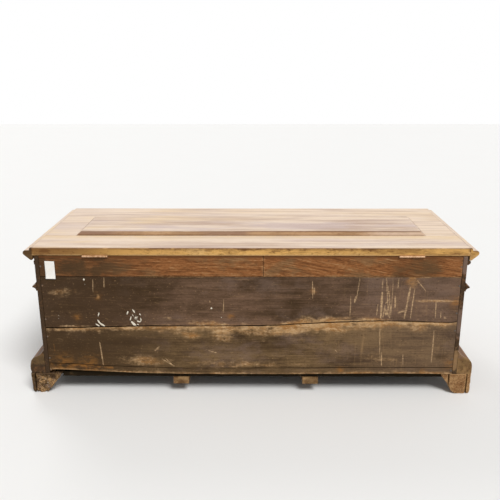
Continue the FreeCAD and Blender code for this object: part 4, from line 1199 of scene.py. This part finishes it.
class CHEST_OT_lid_frame(bpy.types.Operator):
    """Rails, stiles and mouldings of the lid"""

    bl_idname = "chest.lid_frame"
    bl_label = "Lid frame and mouldings"

    def execute(self, context):
        sizes = context.scene.chest_sizes
        gap = 0.0003
        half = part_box("lid_rail_back")[1].x
        front, inner_front = (corner.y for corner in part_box("lid_rail_front"))
        inner_back, back = (corner.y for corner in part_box("lid_rail_back"))
        relief = planed((0.2, 0.12, 0.2), 111)
        wood = lid_wood("lid_frame", X, 113)
        small, large = sizes.machined, sizes.lid_arris
        radii = {"back": [small, large, large, small], "front": small}
        pitches = [0.012, 0.005, 0.012, 0.02]
        for name in radii:
            node = f"lid_rail_{name}"
            low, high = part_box(node)
            loop = eased(rectangle((low.y, high.y), (low.z, high.z)), radii[name], pitches)
            solid = carry(loop, steps(low.x, high.x, sizes.pitch), X, CRISP_END)
            piece(node, solid, wood, "lid", relief)
        for name in SIDES:
            node = f"lid_stile_{name}"
            low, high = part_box(node)
            loop = eased(rectangle((low.z, high.z), (low.x, high.x)), small, pitch=0.012)
            solid = carry(loop, steps(inner_front + gap, inner_back - gap, sizes.pitch), Y, CRISP_END)
            piece(node, solid, wood, "lid", relief)

        def cut_ends(points):
            return {"cut": np.clip((points[:, Y] - back + 0.0025) / 0.002, 0, 1)}

        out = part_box("lid_moulding_front")[1].x - half
        for name, side in RUNS.items():
            node = f"lid_moulding_{name}"
            low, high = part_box(node)
            run = moulding_run(LID_PROFILE, out, (low.z, high.z), half, front, back, side)
            piece(node, run, lid_wood(node, Y if side else X, 117 + side, streaky=0.3), "lid",
                  planed((0.03, 0.03, 0.015), 118), cut_ends)
        return {"FINISHED"}


def fielded(spans, plane, heights, depths, groove, pitch=0.009):
    """A raised panel: a grid over a rectangle, whose height at each point is read off a list of depths and
    heights by the distance to the nearest side, closed by a wall and a flat back. groove is a joint line to
    sink."""
    groove_width, groove_depth = 0.0014, 0.0012
    lines = []
    for low, high in spans:
        near = np.unique(np.concatenate([depths, np.linspace(0, depths[-1], 9)]))
        middle = steps(low + depths[-1], high - depths[-1], pitch)[1:-1]
        lines.append(np.concatenate([low + near, middle, high - near[::-1]]))
    beside = groove + np.array([-0.0016, -0.0006, 0.0, 0.0006, 0.0016])
    lines[1] = np.sort(np.concatenate([lines[1], beside]))
    u, v = np.meshgrid(*lines, indexing="ij")
    (left, right), (near_side, far_side) = spans
    away = np.minimum(np.minimum(u - left, right - u), np.minimum(v - near_side, far_side - v))
    height = np.interp(away, depths, heights)
    height = height - groove_depth * np.clip(1 - np.abs(v - groove) / groove_width, 0, 1)
    number, quads = grid(u.shape)
    rim = np.concatenate([number[:-1, 0], number[-1, :-1], number[:0:-1, -1], number[0, :0:-1]])
    below = number.size + np.arange(len(rim))
    following = np.roll(np.arange(len(rim)), -1)
    walls = np.stack([rim, below, below[following], rim[following]], -1)
    top = np.stack([u, v, height], -1).reshape(-1, 3)
    under = top[rim].copy()
    under[:, Z] = plane
    return np.concatenate([top, under]), quads.tolist() + walls.tolist() + [below[::-1].tolist()]


class CHEST_OT_lid_panel(bpy.types.Operator):
    """The raised panel of the lid, of two boards"""

    bl_idname = "chest.lid_panel"
    bl_label = "Lid panel"

    def execute(self, context):
        gap, bevel = 0.0005, 0.015
        low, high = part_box("lid_panel")
        rail_low, rail_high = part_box("lid_rail_back")
        frame_top = rail_high.z
        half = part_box("lid_stile_right")[0].x - gap
        rear = rail_low.y - gap
        spans = ((-half, half), (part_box("lid_rail_front")[1].y + gap, rear))
        depths = np.array([0.0, bevel - 0.0008, bevel + 0.0008])
        heights = np.array([frame_top, high.z - 0.0005, high.z])
        joint = rail_high.y - context.scene.chest_sizes.panel_joint
        solid = fielded(spans, low.z, heights, depths, joint)

        def marks(points):
            x, y, z = points.T
            above = z > frame_top - 0.001
            away = rear - y
            # Only the rear bevel is marked, for its dirt and painted shade
            behind = np.clip((bevel * 1.1 - away) / 0.002, 0, 1)
            to_left = np.clip(0.5 - 2.0 * x, 0, 1)
            # A painted shadow where the panel meets the rail, and a dark line along the top of the bevel
            lines = (1.1 - 0.5 * to_left) * np.exp(-(away / 0.0035)**2)
            lines += (0.4 + 0.8 * to_left) * np.exp(-((away - bevel) / 0.0028)**2)
            return {"bevel": (above & (z < high.z - 0.0008)) * behind,
                    "line": lines * (above & (np.abs(x) < half - 0.5 * bevel))}

        piece("lid_panel", solid, lid_wood("lid_panel", X, 121, streaky=0.9), "lid",
              planed((0.3, 0.1, 0.3), 122), marks)
        return {"FINISHED"}


# Outlines of the rear feet: how far in from the outer face, or from the back, and how high. Each block is
# given with its distance from the back, and the left foot has the stub of a second one.
BRACKET = [(0.0, 0.0), (0.048, 0.0), (0.053, 0.011), (0.062, 0.038), (0.081, 0.050), (0.090, 0.058),
           (0.104, 0.066), (0.112, 0.071), (0.112, 0.076), (0.0, 0.076)]
BRACKET_MIDDLE = (0.028, 0.052)
BLOCK_IN = 0.015
BLOCK_DEPTH = 0.034
BLOCKS = {
    "left": [
        ([(BLOCK_IN, 0.0), (0.048, 0.0), (0.066, 0.010), (0.074, 0.030), (0.074, 0.076), (BLOCK_IN, 0.076)],
         0.0),
        ([(0.0765, 0.034), (0.1000, 0.064), (0.1040, 0.0755), (0.0765, 0.0755)], 0.006),
    ],
    "right": [
        ([(BLOCK_IN, 0.0), (0.054, 0.0), (0.083, 0.036), (0.104, 0.062), (0.109, 0.076), (BLOCK_IN, 0.076)],
         0.0),
    ],
}
FOOT_PITCH = 0.003
# The lowest corner at a foot's outer face, which is knocked off
TOE_HEIGHT, TOE_IN, TOE_DEPTH = 0.014, 0.004, 0.005


def decay(depth, top, outer):
    """Relief of a rotten foot: bites and worm tracks up to a depth, deepest near the floor, and a
    knocked-off toe."""

    def relief(points):
        bite = 0.5 + 0.5 * rough(points, (0.022, 0.10, 0.022), 131)
        worm = np.clip(rough(points, (0.012, 0.08, 0.012), 133), 0, 1)
        low_share = np.clip(1.25 - points[:, Z] / top, 0.25, 1.0)
        toe = np.clip(1 - points[:, Z] / TOE_HEIGHT, 0, 1)
        toe *= np.clip((np.abs(points[:, X]) - outer + TOE_IN) / TOE_IN, 0, 1)
        return depth * low_share * (0.6 * bite**2 + 1.2 * worm) + TOE_DEPTH * toe

    return relief


class CHEST_OT_rear_feet(bpy.types.Operator):
    """The two decayed rear feet: an end bracket and a rear block each"""

    bl_idname = "chest.rear_feet"
    bl_label = "Rear feet"

    def execute(self, context):
        sizes = context.scene.chest_sizes
        depths = {"left": 0.25 * sizes.erosion, "right": sizes.erosion}
        for name, side in SIDES.items():
            node = f"rear_{name}_foot"
            low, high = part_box(node)
            outer = high.x if side > 0 else low.x
            solids = []
            for outline, set_back in BLOCKS[name]:
                block = eased([(z, outer - side * d) for d, z in outline], radius=0.004, pitch=FOOT_PITCH)
                stations = steps(high.y - BLOCK_DEPTH, high.y - set_back, FOOT_PITCH)
                solids.append(carry(block, stations, Y, ease=0.002, rings=14))
            bracket = eased([(high.y - d, z) for d, z in BRACKET], radius=0.003, pitch=FOOT_PITCH)
            across = sorted((outer, outer - side * (BLOCK_IN - sizes.foot_split)))
            middle = (high.y - BRACKET_MIDDLE[0], BRACKET_MIDDLE[1])
            stations = steps(*across, FOOT_PITCH)
            solids.append(carry(bracket, stations, X, ease=0.0010, rings=10, centre=middle))
            piece(node, together(*solids), foot_wood(node, side), "case",
                  decay(depths[name], high.z, abs(outer)))
        return {"FINISHED"}


class CHEST_OT_front(bpy.types.Operator):
    """The front framing, its panels and the front feet"""

    bl_idname = "chest.front"
    bl_label = "Front framing, panels and feet"

    def execute(self, context):
        edge = context.scene.chest_sizes.machined
        for number, node in enumerate(("frieze_rail", "front_middle_rail", "front_bottom_rail")):
            dress(case_walnut(node, X, 151 + number, edges=waxed_and_shaded(node, Z)), edge, node)
        uprights = ("front_stile_left", "front_stile_right", "front_muntin", "drawer_post")
        for number, node in enumerate(uprights):
            dress(case_walnut(node, Z, 181 + number, edges=waxed_and_shaded(node, X)), edge, node)
        for name, side in SIDES.items():
            panel, foot = f"front_panel_{name}", f"front_{name}_foot"
            dress(case_walnut(panel, X, 191 + side, warm=True), edge, panel)
            dress(case_walnut(foot, X, 195 + side), edge, foot)
        return {"FINISHED"}


class CHEST_OT_inside(bpy.types.Operator):
    """Well floor, runners, cleats, bottom boards, battens and glue blocks"""

    bl_idname = "chest.inside"
    bl_label = "Inside and underside"

    def execute(self, context):
        edge, soot_and_shade = context.scene.chest_sizes.machined, context.scene.chest_colours.soot_and_shade
        runners = [f"drawer_runner_{place}" for place in ("left", "centre", "right")]
        dress(softwood("inside_across", X, 161), edge, "well_floor", "well_floor_cleats")
        dress(softwood("inside_deep", Y, 162), edge, *runners)
        # The bottom boards are nearly black: painted shade under the chest, with dirt
        dress(softwood("bottom_wood", X, 164, dirt=1.0, dirt_and_shade_tint=soot_and_shade), edge, "bottom_boards")
        dress(softwood("underside", Y, 163, dirt=0.65), edge, "bottom_battens")
        dress(softwood("block_wood", Z, 165, dirt=0.9), edge, "foot_blocks")
        return {"FINISHED"}


class CHEST_OT_drawers(bpy.types.Operator):
    """The two drawers with their knobs"""

    bl_idname = "chest.drawers"
    bl_label = "Drawers"

    def execute(self, context):
        edge, tints = context.scene.chest_sizes.machined, context.scene.chest_colours
        knobs = walnut("drawer_knobs", Y, 172, tints.back_dark, tints.walnut_dark, tints.walnut, gloss=0.25)
        across = softwood("drawer_across", X, 173)
        deep = softwood("drawer_sides", Y, 174)
        for name, side in SIDES.items():
            front = f"drawer_{name}_front"
            dress(case_walnut(front, X, 176 + side, edges=waxed_and_shaded(front, X, Z), warm=True), edge, front)
            dress(knobs, 0.0, f"drawer_{name}_knobs")
            dress(across, edge, f"drawer_{name}_back", f"drawer_{name}_bottom")
            dress(deep, edge / 2, f"drawer_{name}_side_left", f"drawer_{name}_side_right")
        return {"FINISHED"}


class CHEST_OT_ironwork(bpy.types.Operator):
    """Hinges with their pins and screws, and the back's nails"""

    bl_idname = "chest.ironwork"
    bl_label = "Hinges, screws and nails"

    def execute(self, context):
        tints = context.scene.chest_colours
        leaf = metal("hinge_metal", tints.hinge, tints.rust, metallic=0.35)
        iron = metal("nail_metal", tints.iron, tints.rust, metallic=0.25)
        dress(leaf, 0.0002, "hinge_case_leaves", "hinge_lid_leaves")
        dress(iron, 0.0, "hinge_pins", "hinge_case_screws", "hinge_lid_screws", "back_nails")
        return {"FINISHED"}


class CHEST_OT_tag(bpy.types.Operator):
    """The blank paper tag at the corner of the back"""

    bl_idname = "chest.tag"
    bl_label = "Paper tag"

    def execute(self, context):
        """A sheet on a grid, a little askew, whose lowest quarter lifts off the rail as a parabola."""
        sizes, tints = context.scene.chest_sizes, context.scene.chest_colours
        askew, clear, curl, thickness = 0.0015, 0.0006, 0.0035, 0.0003
        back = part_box("back_top_rail_right")[1].y
        case_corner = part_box("end_right")[1]
        u, v = np.meshgrid(np.linspace(0, 1, 17), np.linspace(0, 1, 29), indexing="ij")
        x = case_corner.x - sizes.tag_from_end + sizes.tag_width * (u - 0.5)
        z = case_corner.z - sizes.tag_down + sizes.tag_height * (v - 0.5) + askew * (u - 0.5)
        lift = clear + curl * np.clip(0.25 - v, 0, 1)**2 * 16 * (0.4 + 0.6 * u)
        outwards = grid(u.shape)[1][:, [0, 3, 2, 1]]
        finish = Finish("tag_paper")
        fibres = finish.mottle(finish.place, 900.0, 4.0, 0.6)
        stain = finish.mottle(finish.place, 40.0, 3.0)
        colour = finish.tinted(tints.paper, tints.faded_and_sheen, stain, 0.4, 0.75, 0.25)
        paper = finish.surface(colour, 0.8 + fibres * 0.1, fibres, depth=0.00008)
        points = np.stack([x, back + lift, z], -1).reshape(-1, 3)
        made = piece("paper_tag", (points, outwards.tolist()), paper, "case", replaces=False)
        wall = made.modifiers.new("Thickness", "SOLIDIFY")
        wall.thickness = thickness
        wall.offset = 0.0
        return {"FINISHED"}


class CHEST_OT_stage(bpy.types.Operator):
    """Floor, light and camera"""

    bl_idname = "chest.stage"
    bl_label = "Stage"

    def execute(self, context):
        scene = context.scene
        self.floor(scene, scene.chest_colours)
        self.light(scene, scene.chest_stage)
        self.camera(scene, scene.chest_stage)
        scene.view_settings.view_transform = "Standard"
        return {"FINISHED"}

    def floor(self, scene, tints):
        """A flat grid, a few metres wide."""
        finish = Finish("floor_paint")
        clouds = finish.mottle(finish.place, 3.0, 4.0)
        colour = finish.mix(clouds * 0.06, tints.floor, tints.floor_dark)
        paint = finish.surface(colour, 0.75 + clouds * 0.1, clouds, depth=0.0005)
        line = np.linspace(-9, 9, 7)
        u, v = np.meshgrid(line, line, indexing="ij")
        mesh = bpy.data.meshes.new("floor")
        points = np.stack([u, v, 0 * u], -1).reshape(-1, 3)
        mesh.from_pydata(points.tolist(), [], grid(u.shape)[1].tolist())
        mesh.materials.append(paint)
        floor = bpy.data.objects.new("floor", mesh)
        scene.collection.objects.link(floor)

    def light(self, scene, stage):
        """An even sky, white where it is seen straight or in a reflection, and two soft lamps."""
        world = bpy.data.worlds.new("studio")
        world.use_nodes = True
        scene.world = world
        tree = Tree(world.node_tree)
        seen = [tree.node("ShaderNodeLightPath", output=f"Is {kind} Ray")
                for kind in ("Camera", "Glossy", "Transmission")]
        straight = seen[0].most(seen[1]).most(seen[2])
        sky = tree.node("ShaderNodeBackground", inputs={
            "Color": (1.0, 1.0, 1.0, 1.0), "Strength": straight * (1.0 - stage.sky) + stage.sky})
        tree.node("ShaderNodeOutputWorld", inputs={"Surface": sky}, output=None)
        lamps = {"soft_lamp": (stage.lamp, stage.lamp_from), "fill_lamp": (stage.fill, stage.fill_from)}
        for name, (strength, direction) in lamps.items():
            lamp = bpy.data.lights.new(name, "SUN")
            lamp.energy = strength
            lamp.angle = stage.softness
            holder = bpy.data.objects.new(name, lamp)
            holder.location = Vector(direction) * 2.5
            holder.rotation_euler = (-Vector(direction)).to_track_quat("-Z", "Y").to_euler()
            scene.collection.objects.link(holder)

    def camera(self, scene, stage):
        """Looks towards -Y, turned about the vertical, dipped and rolled."""
        level, drop = math.cos(stage.dip), math.sin(stage.dip)
        forward = Vector((-math.sin(stage.turn) * level, -math.cos(stage.turn) * level, -drop))
        right = forward.cross(Vector((0, 0, 1))).normalized()
        up = right.cross(forward)
        cosine, sine = math.cos(stage.roll), math.sin(stage.roll)
        right, up = cosine * right + sine * up, cosine * up - sine * right
        data = bpy.data.cameras.new("camera")
        data.lens = stage.lens
        data.sensor_width = 36.0
        made = bpy.data.objects.new("camera", data)
        turn = Matrix((right, up, -forward)).transposed().to_4x4()
        made.matrix_world = Matrix.Translation(Vector(stage.eye)) @ turn
        scene.collection.objects.link(made)
        scene.camera = made


PIECES = (CHEST_OT_back_boards, CHEST_OT_top_rails, CHEST_OT_end_boards, CHEST_OT_mouldings,
          CHEST_OT_lid_frame, CHEST_OT_lid_panel, CHEST_OT_rear_feet, CHEST_OT_front, CHEST_OT_inside,
          CHEST_OT_drawers, CHEST_OT_ironwork, CHEST_OT_tag, CHEST_OT_stage)
GROUPS = {"chest_sizes": ChestSizes, "chest_colours": ChestColours, "chest_stage": ChestStage}


class CHEST_PT_panel(bpy.types.Panel):
    """Lists the chest's sizes, colours and pieces."""

    bl_label = "Mule chest"
    bl_idname = "CHEST_PT_panel"
    bl_space_type = "VIEW_3D"
    bl_region_type = "UI"
    bl_category = "Chest"

    def draw(self, context):
        for operator in PIECES:
            self.layout.operator(operator.bl_idname)
        for key, group in GROUPS.items():
            column = self.layout.column()
            for name in group.__annotations__:
                column.prop(getattr(context.scene, key), name)


def register():
    for cls in (*GROUPS.values(), *PIECES, CHEST_PT_panel):
        bpy.utils.register_class(cls)
    for key, group in GROUPS.items():
        setattr(bpy.types.Scene, key, bpy.props.PointerProperty(type=group))


def unregister():
    for key in GROUPS:
        delattr(bpy.types.Scene, key)
    for cls in (CHEST_PT_panel, *PIECES[::-1], *GROUPS.values()):
        bpy.utils.unregister_class(cls)


def main():
    register()
    for operator in PIECES:
        group, name = operator.bl_idname.split(".")
        getattr(getattr(bpy.ops, group), name)()


if __name__ == "__main__":
    main()
